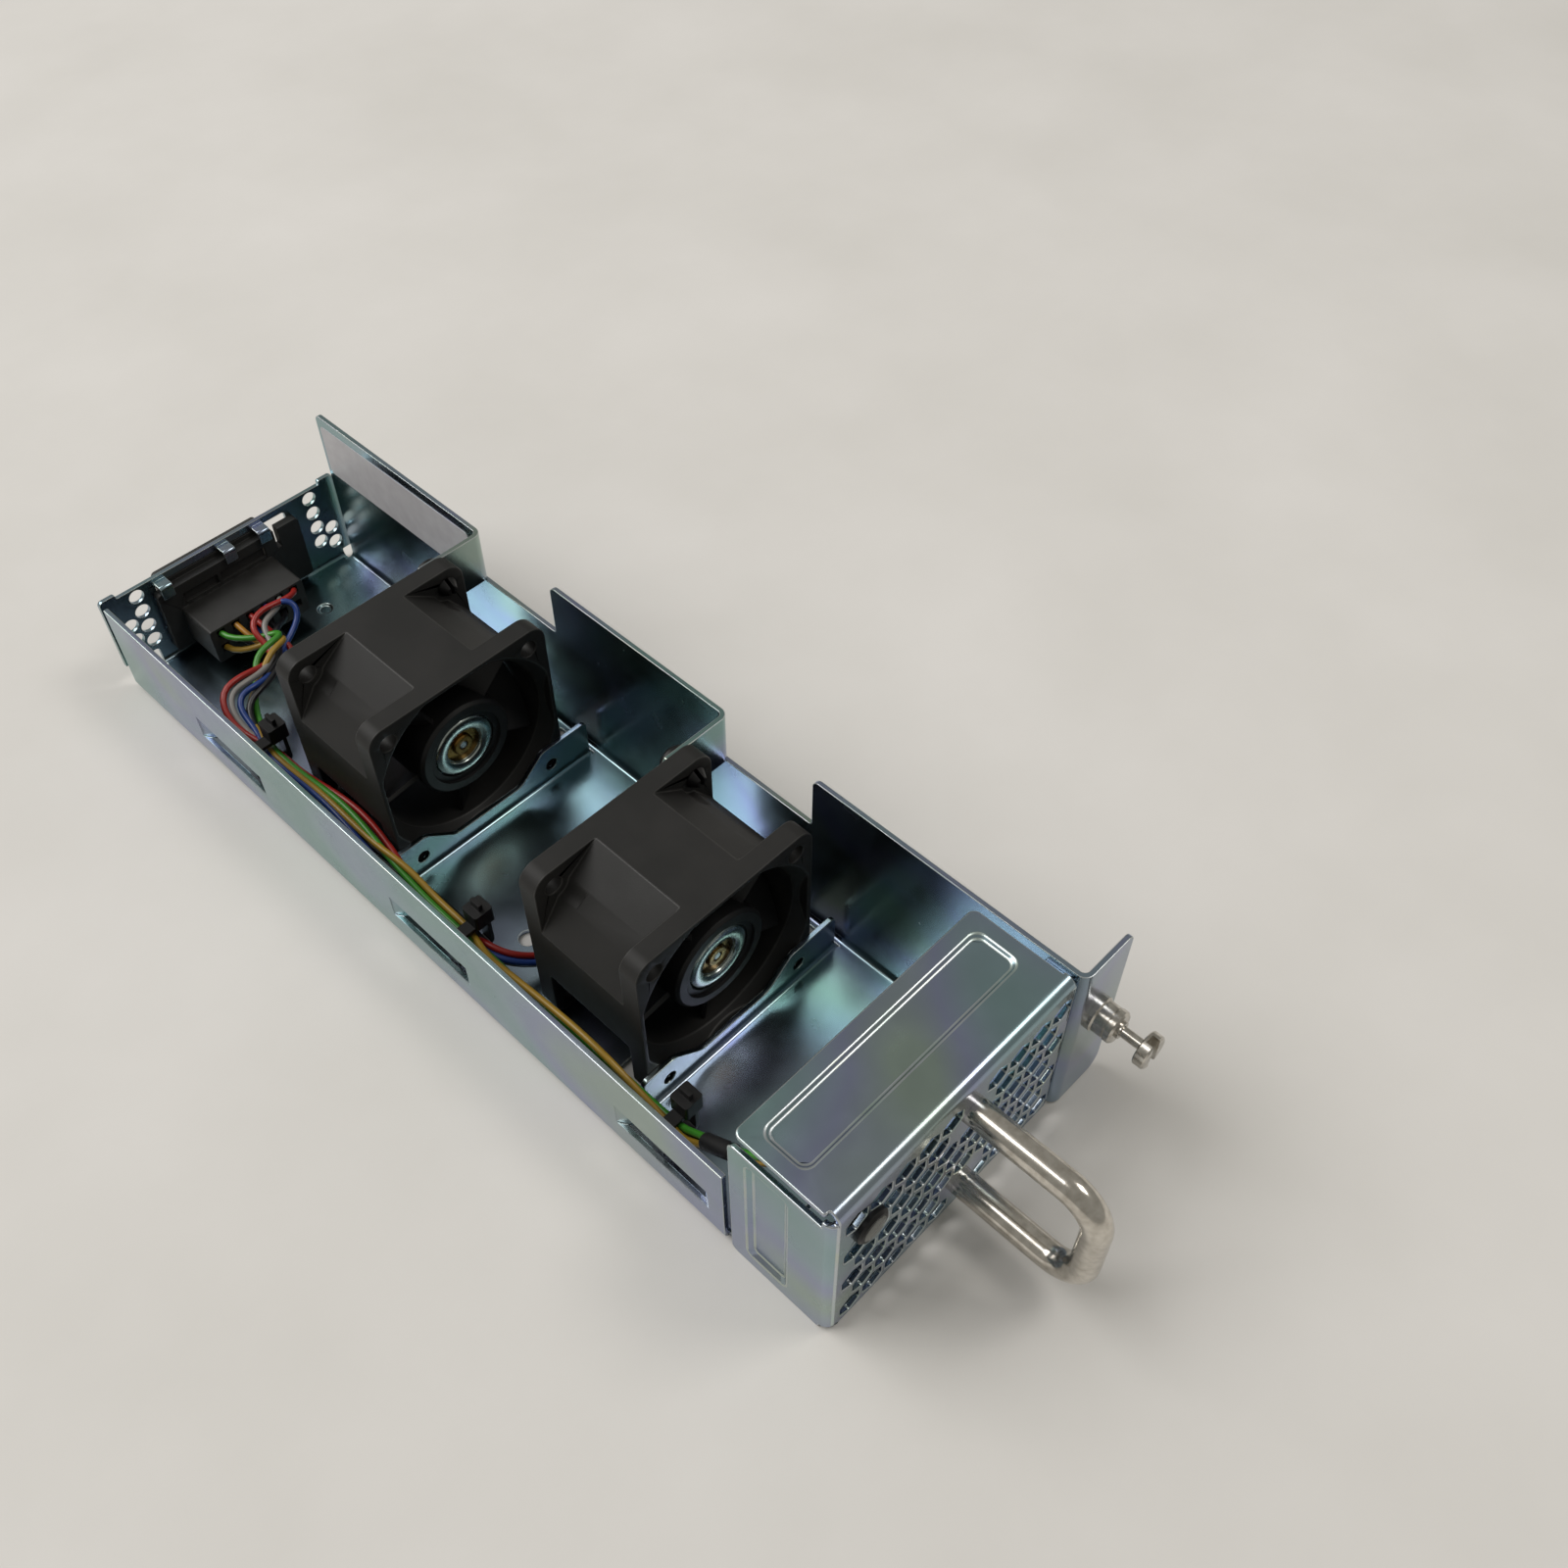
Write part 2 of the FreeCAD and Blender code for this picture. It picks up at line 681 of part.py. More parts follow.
# The two pressed recesses: a pocket outside and the same form standing proud inside
def pressed(body):
    top_low = (left_x + top_press_inset, front_y + top_press_front)
    top_high = (panel_right_x - top_plate_right_gap - top_press_inset, front_y + top_press_rear)
    side_low = (front_y + flange_press_front, flange_press_low)
    side_high = (front_y + flange_press_rear, flange_press_high)
    top_pocket = pressed_pad(*top_low, *top_high, 2.0, on_floor, panel_height, -top_press_depth,
                             top_press_ramp)
    top_proud = pressed_pad(*top_low, *top_high, 2.0, on_floor, panel_height - sheet, -top_press_depth,
                             top_press_ramp)
    side_pocket = pressed_pad(*side_low, *side_high, 1.5, on_side, left_x, flange_press_depth,
                              flange_press_ramp)
    side_proud = pressed_pad(*side_low, *side_high, 1.5, on_side, left_x + sheet, flange_press_depth,
                              flange_press_ramp)
    return joined([body, top_proud, side_proud]).cut([top_pocket, side_pocket])


def panel_holes():
    tools = [hexagon(x, z) for x, z in grille_centres()]
    for leg_z in (handle_low, handle_low + handle_spacing):
        tools.append(rod_y(handle_screw_diameter / 2 + screw_clearance, pins_x, leg_z,
                           front_y - 1, front_y + sheet + 1))
    tools.append(rod_y(holder_neck / 2, light.x, light.z, front_y - 1, front_y + sheet + 1))
    return tools


def pull_handle():
    low = handle_low
    high = handle_low + handle_spacing
    out = front_y - handle_reach
    bend = handle_bend
    slack = bend * (1 - math.sqrt(0.5))
    points = [V(pins_x, front_y, low), V(pins_x, out + bend, low), V(pins_x, out + slack, low + slack),
              V(pins_x, out, low + bend), V(pins_x, out, high - bend), V(pins_x, out + slack, high - slack),
              V(pins_x, out + bend, high), V(pins_x, front_y, high)]
    path = Part.Wire([Part.makeLine(points[0], points[1]), Part.Arc(*points[1:4]).toShape(),
                      Part.makeLine(points[3], points[4]), Part.Arc(*points[4:7]).toShape(),
                      Part.makeLine(points[6], points[7])])
    section = Part.Wire([Part.makeCircle(rod_diameter / 2, points[0], V(0, 1, 0))])
    rod = path.makePipeShell([section], True, True)
    holes = []
    for leg_z in (low, high):
        holes.append(rod_y(handle_screw_diameter / 2 + thread_clearance, pins_x, leg_z,
                           front_y - handle_screw_length, front_y + 1))
    return rod.cut(holes)


def handle_screws():
    screws = []
    seat = front_y + sheet
    head = screw_head_diameter / 2
    shank = handle_screw_diameter / 2
    tip = -sheet - handle_screw_length + 0.5
    for leg_z in (handle_low, handle_low + handle_spacing):
        profile = [(0, tip), (shank, tip), (shank, 0), (head, 0), (head, screw_head_height * 0.6),
                   (head * 0.7, screw_head_height), (0, screw_head_height)]
        screws.append(turned(profile, pins_x, seat, leg_z))
    return Part.Compound(screws)


# Ferrule pressed into the ear, hollow for the spring, open at the rear for the retainer
def screw_ferrule():
    outer = ferrule_diameter / 2
    neck = ferrule_neck / 2
    chamber = spring_chamber / 2
    mouth = screw_shank / 2 + running_gap
    front = -ferrule_length
    body_front = front + ferrule_boss_height
    groove = body_front + 1.4
    profile = [(chamber, sheet), (neck, sheet), (neck, 0), (outer + 0.1, 0),
               (outer + 0.1, -ferrule_flange + 0.3), (outer - 0.2, -ferrule_flange),
               (outer - 0.2, groove + 0.3), (outer - 0.45, groove + 0.3),
               (outer - 0.45, groove), (outer - 0.1, groove), (outer - 0.1, body_front + 0.4),
               (outer - 0.5, body_front), (ferrule_boss / 2, body_front), (ferrule_boss / 2, front),
               (mouth, front), (mouth, body_front + ferrule_lip), (chamber, body_front + ferrule_lip)]
    return turned(profile, screw_x, ear_front_y, screw_height)


def retainer_place():
    return ear_front_y + sheet - retainer_thickness


def screw_retainer():
    inner = screw_thread / 2 + screw_clearance
    return tube(spring_chamber / 2, inner, screw_x, screw_height, retainer_place(), ear_front_y + sheet)


def ring_place():
    return ear_front_y - ferrule_length + ferrule_boss_height + ferrule_lip + running_gap


# Open snap ring in the screw's groove, pushed by the spring, so that the screw can't fall out
def screw_snap_ring():
    inner = screw_shank / 2 - groove_depth + running_gap
    front = ring_place()
    ring = tube(snap_ring / 2, inner, screw_x, screw_height, front, front + snap_ring_thickness)
    slot = block((screw_x - snap_ring_slot / 2, front - 1, screw_height - snap_ring),
                 (screw_x + snap_ring_slot / 2, front + snap_ring_thickness + 1, screw_height))
    return ring.cut(slot)


# Shank, groove and thread of the captive screw, one turned piece
def captive_screw():
    shank = screw_shank / 2
    thread = screw_thread / 2
    groove = shank - groove_depth
    ring_front = ring_place() - running_gap / 2
    ring_rear = ring_place() + snap_ring_thickness + running_gap / 2
    knob_rear = ear_front_y - ferrule_length - knob_gap
    shank_front = knob_rear - (knob_height - knob_slot_depth)
    thread_rear = ear_front_y + sheet
    profile = [(0, shank_front), (shank, shank_front), (shank, ring_front), (groove, ring_front),
               (groove, ring_rear), (thread, ring_rear), (thread, thread_rear - 0.5),
               (thread - 0.5, thread_rear), (0, thread_rear)]
    return turned(profile, screw_x, 0, screw_height)


def screw_knob():
    rear = ear_front_y - ferrule_length - knob_gap
    front = rear - knob_height
    radius = knob_diameter / 2
    shank = screw_shank / 2
    body = turned([(shank, rear), (radius - 0.2, rear), (radius, rear - 0.2), (radius, front + 0.3),
                   (radius - 0.3, front), (0, front), (0, front + knob_slot_depth),
                   (shank, front + knob_slot_depth)], screw_x, 0, screw_height)
    slot = block((screw_x - knob_slot_width / 2, front - 1, screw_height - knob_diameter),
                 (screw_x + knob_slot_width / 2, front + knob_slot_depth, screw_height + knob_diameter))
    return body.cut(slot)


def screw_spring():
    mean = (screw_thread / 2 + spring_chamber / 2) / 2
    front = ring_place() + snap_ring_thickness + spring_wire / 2 + running_gap / 2
    rear = retainer_place() - spring_wire / 2 - running_gap / 2
    length = rear - front
    helix = Part.makeHelix(length / spring_coils, length, mean)
    corners = []
    for side in range(spring_wire_sides + 1):
        angle = 2 * math.pi * side / spring_wire_sides
        corners.append(V(mean + spring_wire / 2 * math.cos(angle), 0, spring_wire / 2 * math.sin(angle)))
    coil = Part.Wire(helix.Edges).makePipeShell([Part.makePolygon(corners)], True, True)
    coil.rotate(V(0, 0, 0), V(1, 0, 0), -90)
    coil.translate(V(screw_x, front, screw_height))
    return coil


# Fan frame: two square flanges, a faceted body between them, struts and bearing tube at the rear
def fan_housing():
    half = fan_size / 2
    square = rectangle(-half, -half, half, half, fan_corner)
    front = plate(square, facing(0), V(0, fan_flange, 0))
    rear = plate(square, facing(fan_depth - fan_flange), V(0, fan_flange, 0))
    flat = body_flat / 2
    low = body_corner_low
    high = body_corner_high
    octant = [(flat, half), (low, high), (high, low), (half, flat)]
    outline = []
    for u, v in octant:
        outline.append((u, v, 0))
    for u, v in reversed(octant):
        outline.append((u, -v, 0))
    for u, v in octant:
        outline.append((-u, -v, 0))
    for u, v in reversed(octant):
        outline.append((-u, v, 0))
    middle = plate(outline, facing(fan_flange), V(0, fan_depth - 2 * fan_flange, 0))
    shell = joined([front, middle, rear])
    bore = rod_y(fan_bore / 2, 0, 0, -1, fan_depth + 1)
    flare = Part.makeCone(inlet_flare / 2, fan_bore / 2, inlet_depth, V(0, 0, 0), V(0, 1, 0))
    rim = half - inlet_rim
    flare = flare.common(block((-rim, -1, -rim), (rim, inlet_depth + 1, rim)))
    cuts = [bore, flare]
    for x in (-hole_offset, hole_offset):
        for z in (-hole_offset, hole_offset):
            cuts.append(rod_y(fan_hole / 2, x, z, -1, fan_depth + 1))
            pocket_rear = fan_depth - fan_flange
            cuts.append(rod_y(screw_pocket / 2, x, z, pocket_rear - screw_pocket_length, pocket_rear))
    return joined([shell.cut(cuts), motor_mount()])


# Struts, motor base and bearing tube, moulded with the frame
def motor_mount():
    base_front = fan_depth - motor_base_thickness
    outer = bearing_outer / 2 + bearing_tube_wall
    inner = bearing_outer / 2
    shoulder = inner - bearing_shoulder
    front_seat = bearing_tube_front + bearing_width
    rear_seat = base_front - 2 * bearing_width
    profile = [(inner, bearing_tube_front), (outer, bearing_tube_front), (outer, base_front),
               (motor_base / 2, base_front), (motor_base / 2, fan_depth), (0, fan_depth), (0, base_front),
               (inner, base_front), (inner, rear_seat), (shoulder, rear_seat), (shoulder, front_seat),
               (inner, front_seat)]
    parts = [turned(profile)]
    reach = fan_bore / 2 + 0.8
    for index in range(strut_count):
        strut = block((motor_base / 2 - 1, base_front, -strut_width / 2), (reach, fan_depth, strut_width / 2))
        strut.rotate(V(0, 0, 0), V(0, 1, 0), 45 + index * 360 / strut_count)
        parts.append(strut)
    return joined(parts)


# One blade: straight radial lines between a root section and a tip section on parallel planes
def fan_blade():
    root_plane = hub_diameter / 2 * 0.8
    tip_plane = fan_bore / 2 + 1
    wires = []
    for distance, thickness in ((root_plane, blade_root_thickness), (tip_plane, blade_tip_thickness)):
        wires.append(blade_section(distance, thickness))
    blade = Part.makeLoft(wires, True, True)
    root = hub_diameter / 2 - hub_wall / 2
    tip = fan_bore / 2 - blade_tip_gap
    return blade.common(tube(tip, root, 0, 0, 0, fan_depth))


def blade_section(distance, thickness):
    middle = []
    for share in (0, 0.5, 1):
        angle = math.radians((share - 0.5) * blade_sweep)
        along = blade_front + (fan_depth - blade_rear_gap - blade_front) * share ** blade_curve
        middle.append(V(distance, along, distance * math.tan(angle)))
    faces = []
    for side in (-1, 1):
        points = []
        for index in range(3):
            run = middle[min(index + 1, 2)] - middle[max(index - 1, 0)]
            normal = V(0, -run.z, run.y).normalize()
            points.append(middle[index] + normal * (side * thickness / 2))
        faces.append(Part.Arc(*points).toShape())
    low, high = faces
    ends = [Part.makeLine(low.Vertexes[-1].Point, high.Vertexes[-1].Point),
            Part.makeLine(high.Vertexes[0].Point, low.Vertexes[0].Point)]
    return Part.Wire([low, ends[0], high, ends[1]])


def yoke_radius():
    return hub_diameter / 2 - hub_wall


def impeller():
    outer = hub_diameter / 2
    inner = yoke_radius()
    yoke_front = hub_front + hub_wall
    step = hub_front + hub_recess_depth
    hub_rear = fan_depth - hub_rear_gap
    hub = turned([(inner, hub_rear), (outer, hub_rear), (outer, hub_front + 0.6), (outer - 0.6, hub_front),
                  (hub_recess / 2, hub_front), (hub_recess / 2, step), (hub_opening / 2, step),
                  (hub_opening / 2, yoke_front), (inner, yoke_front)])
    parts = [hub]
    blade = fan_blade()
    for index in range(blade_count):
        copy = blade.copy()
        copy.rotate(V(0, 0, 0), V(0, 1, 0), index * 360 / blade_count)
        parts.append(copy)
    return joined(parts)


def rotor_yoke():
    outer = yoke_radius()
    front = hub_front + hub_wall
    rear = fan_depth - yoke_rear_gap
    return turned([(boss_hole / 2, front), (outer, front), (outer, rear), (outer - yoke_wall, rear),
                   (outer - yoke_wall, front + yoke_wall), (boss_hole / 2, front + yoke_wall)])


def magnet_ring():
    outer = yoke_radius() - yoke_wall
    return tube(outer, outer - magnet_thickness, 0, 0, magnet_front, fan_depth - magnet_rear_gap)


# Brass boss that joins the steel cup to the shaft
def rotor_boss():
    front = hub_front + hub_wall
    back = front + yoke_wall
    shaft = fan_shaft / 2
    head = boss_head / 2
    return turned([(shaft, front - 0.2), (head - 0.3, front - 0.2), (head, front + 0.1), (head, front + 0.5),
                   (boss_hole / 2, front + 0.5), (boss_hole / 2, back), (boss_flange / 2, back),
                   (boss_flange / 2, back + 0.6), (shaft + 1.0, back + 0.6), (shaft + 1.0, back + 1.8),
                   (shaft, back + 1.8)])


def rotor_shaft():
    rear = fan_depth - motor_base_thickness - 0.3
    radius = fan_shaft / 2
    return turned([(0, shaft_front), (radius - 0.3, shaft_front), (radius, shaft_front + 0.3), (radius, rear),
                   (0, rear)])


def ball_bearings():
    base_front = fan_depth - motor_base_thickness
    inner = fan_shaft / 2 + thread_clearance
    rings = []
    for front in (bearing_tube_front, base_front - 2 * bearing_width):
        rings.append(tube(bearing_outer / 2, inner, 0, 0, front, front + bearing_width))
    return Part.Compound(rings)


def stator_radius():
    return yoke_radius() - yoke_wall - magnet_thickness - air_gap


def stator_rear():
    return fan_depth - stator_rear_gap


# Laminated core: a ring on the bearing tube with four poles and their curved shoes
def stator_core():
    ring_inner = bearing_outer / 2 + bearing_tube_wall
    ring_outer = ring_inner + stator_ring
    radius = stator_radius()
    parts = [tube(ring_outer, ring_inner, 0, 0, stator_front, stator_rear())]
    shoe_ring = tube(radius, radius - pole_shoe, 0, 0, stator_front, stator_rear())
    for index in range(pole_count):
        pole = block((ring_outer - 0.4, stator_front, -pole_width / 2),
                     (radius - 0.3, stator_rear(), pole_width / 2))
        wedge = plate([(0, 0, 0), (radius * 2, -radius * 1.4, 0), (radius * 2, radius * 1.4, 0)],
                      facing(stator_front), V(0, stator_rear() - stator_front, 0))
        shoe = shoe_ring.common(wedge)
        for piece in (pole, shoe):
            piece.rotate(V(0, 0, 0), V(0, 1, 0), index * 360 / pole_count)
            parts.append(piece)
    return joined(parts)


def stator_coils():
    ring_outer = bearing_outer / 2 + bearing_tube_wall + stator_ring
    inner = ring_outer + 0.2
    half = pole_width / 2
    shoe_inner = stator_radius() - pole_shoe
    outer = math.sqrt(shoe_inner ** 2 - (half + coil_thickness) ** 2) - running_gap
    coils = []
    for index in range(pole_count):
        coil = block((inner, stator_front - coil_thickness, -half - coil_thickness),
                     (outer, stator_rear() + coil_thickness, half + coil_thickness))
        coil = coil.cut(block((inner - 1, stator_front, -half), (outer + 1, stator_rear(), half)))
        coil.rotate(V(0, 0, 0), V(0, 1, 0), index * 360 / pole_count)
        coils.append(coil)
    return Part.Compound(coils)


def motor_board():
    base_front = fan_depth - motor_base_thickness
    inner = bearing_outer / 2 + bearing_tube_wall
    return tube(yoke_radius() - 0.4, inner, 0, 0, base_front - board_thickness, base_front)


# Split push rivet: head behind the return flange, prongs in front of the fan's rear flange
def fan_rivets():
    rivets = []
    shank = rivet_shank / 2
    for fan_front in fan_fronts:
        seat = fan_front + fan_depth + sheet
        tip = -sheet - fan_flange - rivet_barb_length
        profile = [(0, tip), (shank - 0.6, tip), (rivet_barb / 2, -sheet - fan_flange - fit_gap),
                   (shank, -sheet - fan_flange - fit_gap), (shank, 0), (rivet_head / 2, 0),
                   (rivet_head / 2, rivet_head_height * 0.5), (rivet_head / 2 - 0.8, rivet_head_height),
                   (0, rivet_head_height)]
        x = fan_x + hole_offset
        z = fan_z + hole_offset
        rivet = turned(profile, x, seat, z)
        slit = block((x - rivet_slit / 2, seat + tip - 1, z - rivet_head),
                     (x + rivet_slit / 2, seat - sheet - 1, z + rivet_head))
        rivets.append(rivet.cut(slit))
    return Part.Compound(rivets)


def plug_rows():
    middle = (cutout_low + plug_flange_high) / 2
    return [middle + (row - (contact_rows - 1) / 2) * contact_row_gap for row in range(contact_rows)]


def plug_columns():
    middle = left_x + (plug_body_left + plug_body_right) / 2
    first = middle - (contact_columns - 1) / 2 * contact_pitch
    return [first + column * contact_pitch for column in range(contact_columns)]


# Blind-mate plug: flange behind the hooks, wire side towards the fans, nose through the rear wall
def connector_housing():
    flange_front = rear_inner_y - plug_flange_thickness
    flange = plate(rectangle(left_x + plug_flange_left, plug_flange_low, left_x + plug_flange_right,
                             plug_flange_high, 1.0),
                   facing(flange_front), V(0, plug_flange_thickness, 0))
    body_front = rear_inner_y - plug_body_depth
    body = plate(rectangle(left_x + plug_body_left, plug_body_low, left_x + plug_body_right,
                           plug_body_high, 0.6),
                 facing(body_front), V(0, plug_body_depth - plug_flange_thickness, 0))
    nose_left = left_x + cutout_left + plug_nose_margin
    nose_right = left_x + plug_body_right + plug_nose_margin
    nose_low = cutout_low + plug_nose_margin
    nose_high = cutout_high - plug_nose_gap
    nose = plate(rectangle(nose_left, nose_low, nose_right, nose_high, 1.0),
                 facing(rear_inner_y), V(0, sheet + plug_nose_length, 0))
    wall = plug_nose_wall
    cavity_front = rear_y + plug_nose_length - plug_cavity_depth
    cuts = [plate(rectangle(nose_left + wall, nose_low + wall, nose_right - wall, nose_high - wall, 0.6),
                  facing(cavity_front), V(0, plug_cavity_depth + 1, 0))]
    half = contact_size / 2
    for x in plug_columns():
        for z in plug_rows():
            entry = z - contact_row_gap / 2
            cuts.append(block((x - wire_entry / 2, body_front - 1, entry - wire_entry / 2),
                              (x + wire_entry / 2, body_front + wire_entry_depth, entry + wire_entry / 2)))
            cuts.append(block((x - half, cavity_front - 2, z - half), (x + half, cavity_front + 1, z + half)))
    for low_x, high_x in plug_windows:
        cuts.append(block((left_x + low_x, flange_front - 1, plug_window_low),
                          (left_x + high_x, flange_front + plug_window_depth, plug_window_high)))
    cuts.append(block((left_x + plug_slot, flange_front - 1, plug_slot_low),
                      (left_x + plug_slot + plug_slot_width, rear_inner_y + 1, plug_flange_high + 1)))
    return joined([flange, body, nose]).cut(cuts)


def connector_contacts():
    front = rear_y + plug_nose_length - plug_cavity_depth - 2
    half = contact_size / 2
    pins = []
    for x in plug_columns():
        for z in plug_rows():
            pins.append(block((x - half, front, z - half), (x + half, front + contact_length, z + half)))
    return Part.Compound(pins)


# Snap-in holder with a rim that stands out of the grille
def led_holder():
    rim = holder_rim / 2
    neck = holder_neck / 2
    bore = light_base / 2
    lens = lens_diameter / 2
    return turned([(lens, -holder_rim_height), (rim - 0.5, -holder_rim_height),
                   (rim, -holder_rim_height + 0.5), (rim, 0), (neck, 0), (neck, sheet + fit_gap),
                   (neck + 0.4, sheet + fit_gap),
                   (neck, sheet + 1.6), (neck, holder_length), (bore, holder_length), (bore, sheet + 1.0),
                   (lens, sheet + 1.0)], light.x, light.y, light.z)


def led():
    lens = lens_diameter / 2
    front = -holder_rim_height + 0.2
    return turned([(0, front), (lens * 0.55, front + 0.15), (lens * 0.87, front + 0.6),
                   (lens, front + lens_stand), (lens, sheet + 1.0), (light_base / 2, sheet + 1.0),
                   (light_base / 2, holder_length - 1.0),
                   (0, holder_length - 1.0)], light.x, light.y, light.z)


def cable_ties():
    ties = []
    low_x = left_x + bridge_push - tie_play
    high_x = left_x + bridge_push + sheet + tie_bundle_room
    low_z = bridge_low - tie_play
    high_z = bridge_high + tie_play
    skin = tie_thickness
    head_x = high_x + tie_head_overhang - tie_head
    for place in tie_places:
        y = front_y + place
        start = y - tie_width / 2
        outer = plate(rectangle(low_x - skin, low_z - skin, high_x + skin, high_z + skin, 1.4),
                      facing(start), V(0, tie_width, 0))
        room = plate(rectangle(low_x, low_z, high_x, high_z, tie_play),
                     facing(start - 1), V(0, tie_width + 2, 0))
        head = plate(rectangle(head_x, y - tie_head / 2, head_x + tie_head, y + tie_head / 2, 0.5),
                     on_floor(high_z + skin - 0.2), V(0, 0, tie_head_height))
        tail_x = head_x + (tie_head - skin) / 2
        tail = block((tail_x, y - tie_width / 2, high_z + tie_head_height),
                     (tail_x + skin, y + tie_width / 2, high_z + tie_head_height + tie_tail))
        ties.append(joined([outer.cut(room), head, tail]))
    return Part.Compound(ties)


# Wire route: straight runs joined by tangent arcs as large as the runs allow
def wire_run(name, diameter, points):
    points = [V(left_x + x, front_y + y, z) for x, y, z in points]
    edges = []
    start = points[0]
    radii = []
    for index in range(1, len(points) - 1):
        corner = points[index]
        back = points[index - 1] - corner
        ahead = points[index + 1] - corner
        shorter = min(back.Length, ahead.Length)
        back.normalize()
        ahead.normalize()
        turn = math.pi - back.getAngle(ahead)
        reach = 0.45 * shorter
        radius = reach / math.tan(turn / 2)
        radii.append(round(radius, 1))
        half = back.getAngle(ahead) / 2
        inward = (back + ahead).normalize()
        middle = corner + inward * (radius / math.sin(half) - radius)
        enter = corner + back * reach
        leave = corner + ahead * reach
        edges.append(Part.makeLine(start, enter))
        edges.append(Part.Arc(enter, middle, leave).toShape())
        start = leave
    edges.append(Part.makeLine(start, points[-1]))
    path = Part.Wire(edges)
    direction = (points[1] - points[0]).normalize()
    section = Part.Wire([Part.makeCircle(diameter / 2, points[0], direction)])
    solid = path.makePipeShell([section], True, True)
    expected = math.pi * diameter ** 2 / 4 * path.Length
    print(name, "length", round(path.Length, 1), "radii", radii)
    print(name, "volume ratio", round(solid.Volume / expected, 4))
    return solid


wire_routes = {
    "wire_bundle": (bundle_diameter, [
        (30.0, 188.5, 8.6), (30.0, 181.5, 8.6), (22.5, 175.0, 13.2), (12.0, 172.0, 12.6),
        (5.5, 167.0, 9.5), (5.5, 150.0, 9.5), (4.9, 134.0, 11.9), (4.7, 116.0, 11.8),
        (5.5, 104.0, 9.5), (5.5, 91.5, 9.5)]),
    "status_light_leads": (lamp_lead_diameter, [
        (4.55, 91.5, 10.1), (4.55, 80.0, 10.1), (4.9, 62.0, 10.8), (5.3, 47.0, 9.4), (5.1, 37.5, 10.6),
        (5.1, 21.0, 23.5), (7.9, 12.5, 29.3), (7.9, 7.0, 29.3)]),
    "front_fan_leads": (fan_lead_diameter, [
        (6.65, 91.5, 8.8), (6.65, 86.5, 8.8), (11.0, 83.2, 6.0), (16.5, 81.5, 3.8), (16.5, 77.5, 3.8)]),
    "rear_fan_leads": (fan_lead_diameter, [
        (16.5, 145.5, 3.8), (16.5, 152.5, 3.8), (19.2, 162.0, 5.6), (20.6, 172.0, 6.8), (19.6, 181.0, 7.0),
        (19.6, 188.5, 7.0)]),
}


# Shrink sleeve over the straight stretch of the light's leads
def shrink_sleeve():
    points = wire_routes["status_light_leads"][1]
    rear = V(left_x + points[4][0], front_y + points[4][1], points[4][2])
    front = V(left_x + points[5][0], front_y + points[5][1], points[5][2])
    axis = (front - rear).normalize()
    start = rear + axis * sleeve_start
    inner = lamp_lead_diameter / 2
    sleeve = Part.makeCylinder(inner + sleeve_wall, sleeve_length, start, axis)
    return sleeve.cut(Part.makeCylinder(inner, sleeve_length, start, axis))


def save(name, shape):
    shape.exportStep("parts/" + name + ".step")
    print(name, "solids", len(shape.Solids), "volume", round(shape.Volume, 1), "valid", shape.isValid())


def save_fans():
    pieces = {"housing": fan_housing(), "impeller": impeller(), "rotor_yoke": rotor_yoke(),
              "magnet_ring": magnet_ring(), "rotor_boss": rotor_boss(), "rotor_shaft": rotor_shaft(),
              "ball_bearings": ball_bearings(), "stator_core": stator_core(), "stator_coils": stator_coils(),
              "motor_board": motor_board()}
    for fan_name, fan_front in zip(fan_names, fan_fronts):
        for piece_name, piece in pieces.items():
            placed = piece.copy()
            placed.translate(V(fan_x, fan_front, fan_z))
            save(fan_name + "_" + piece_name, placed)


os.makedirs("parts", exist_ok=True)
save("tray_chassis", tray_chassis())
save("front_panel", front_panel())
save("pull_handle", pull_handle())
save("handle_screws", handle_screws())
save("screw_ferrule", screw_ferrule())
save("screw_retainer", screw_retainer())
save("screw_spring", screw_spring())
save("screw_snap_ring", screw_snap_ring())
save("captive_screw", captive_screw())
save("screw_knob", screw_knob())
save_fans()
save("fan_rivets", fan_rivets())
save("connector_housing", connector_housing())
save("connector_contacts", connector_contacts())
save("led_holder", led_holder())
save("led", led())
save("cable_ties", cable_ties())
save("shrink_sleeve", shrink_sleeve())
for route_name, (diameter, points) in wire_routes.items():
    save(route_name, wire_run(route_name, diameter, points))
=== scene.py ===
import json
import math
import bpy
from mathutils import Matrix, Vector
from mathutils.bvhtree import BVHTree

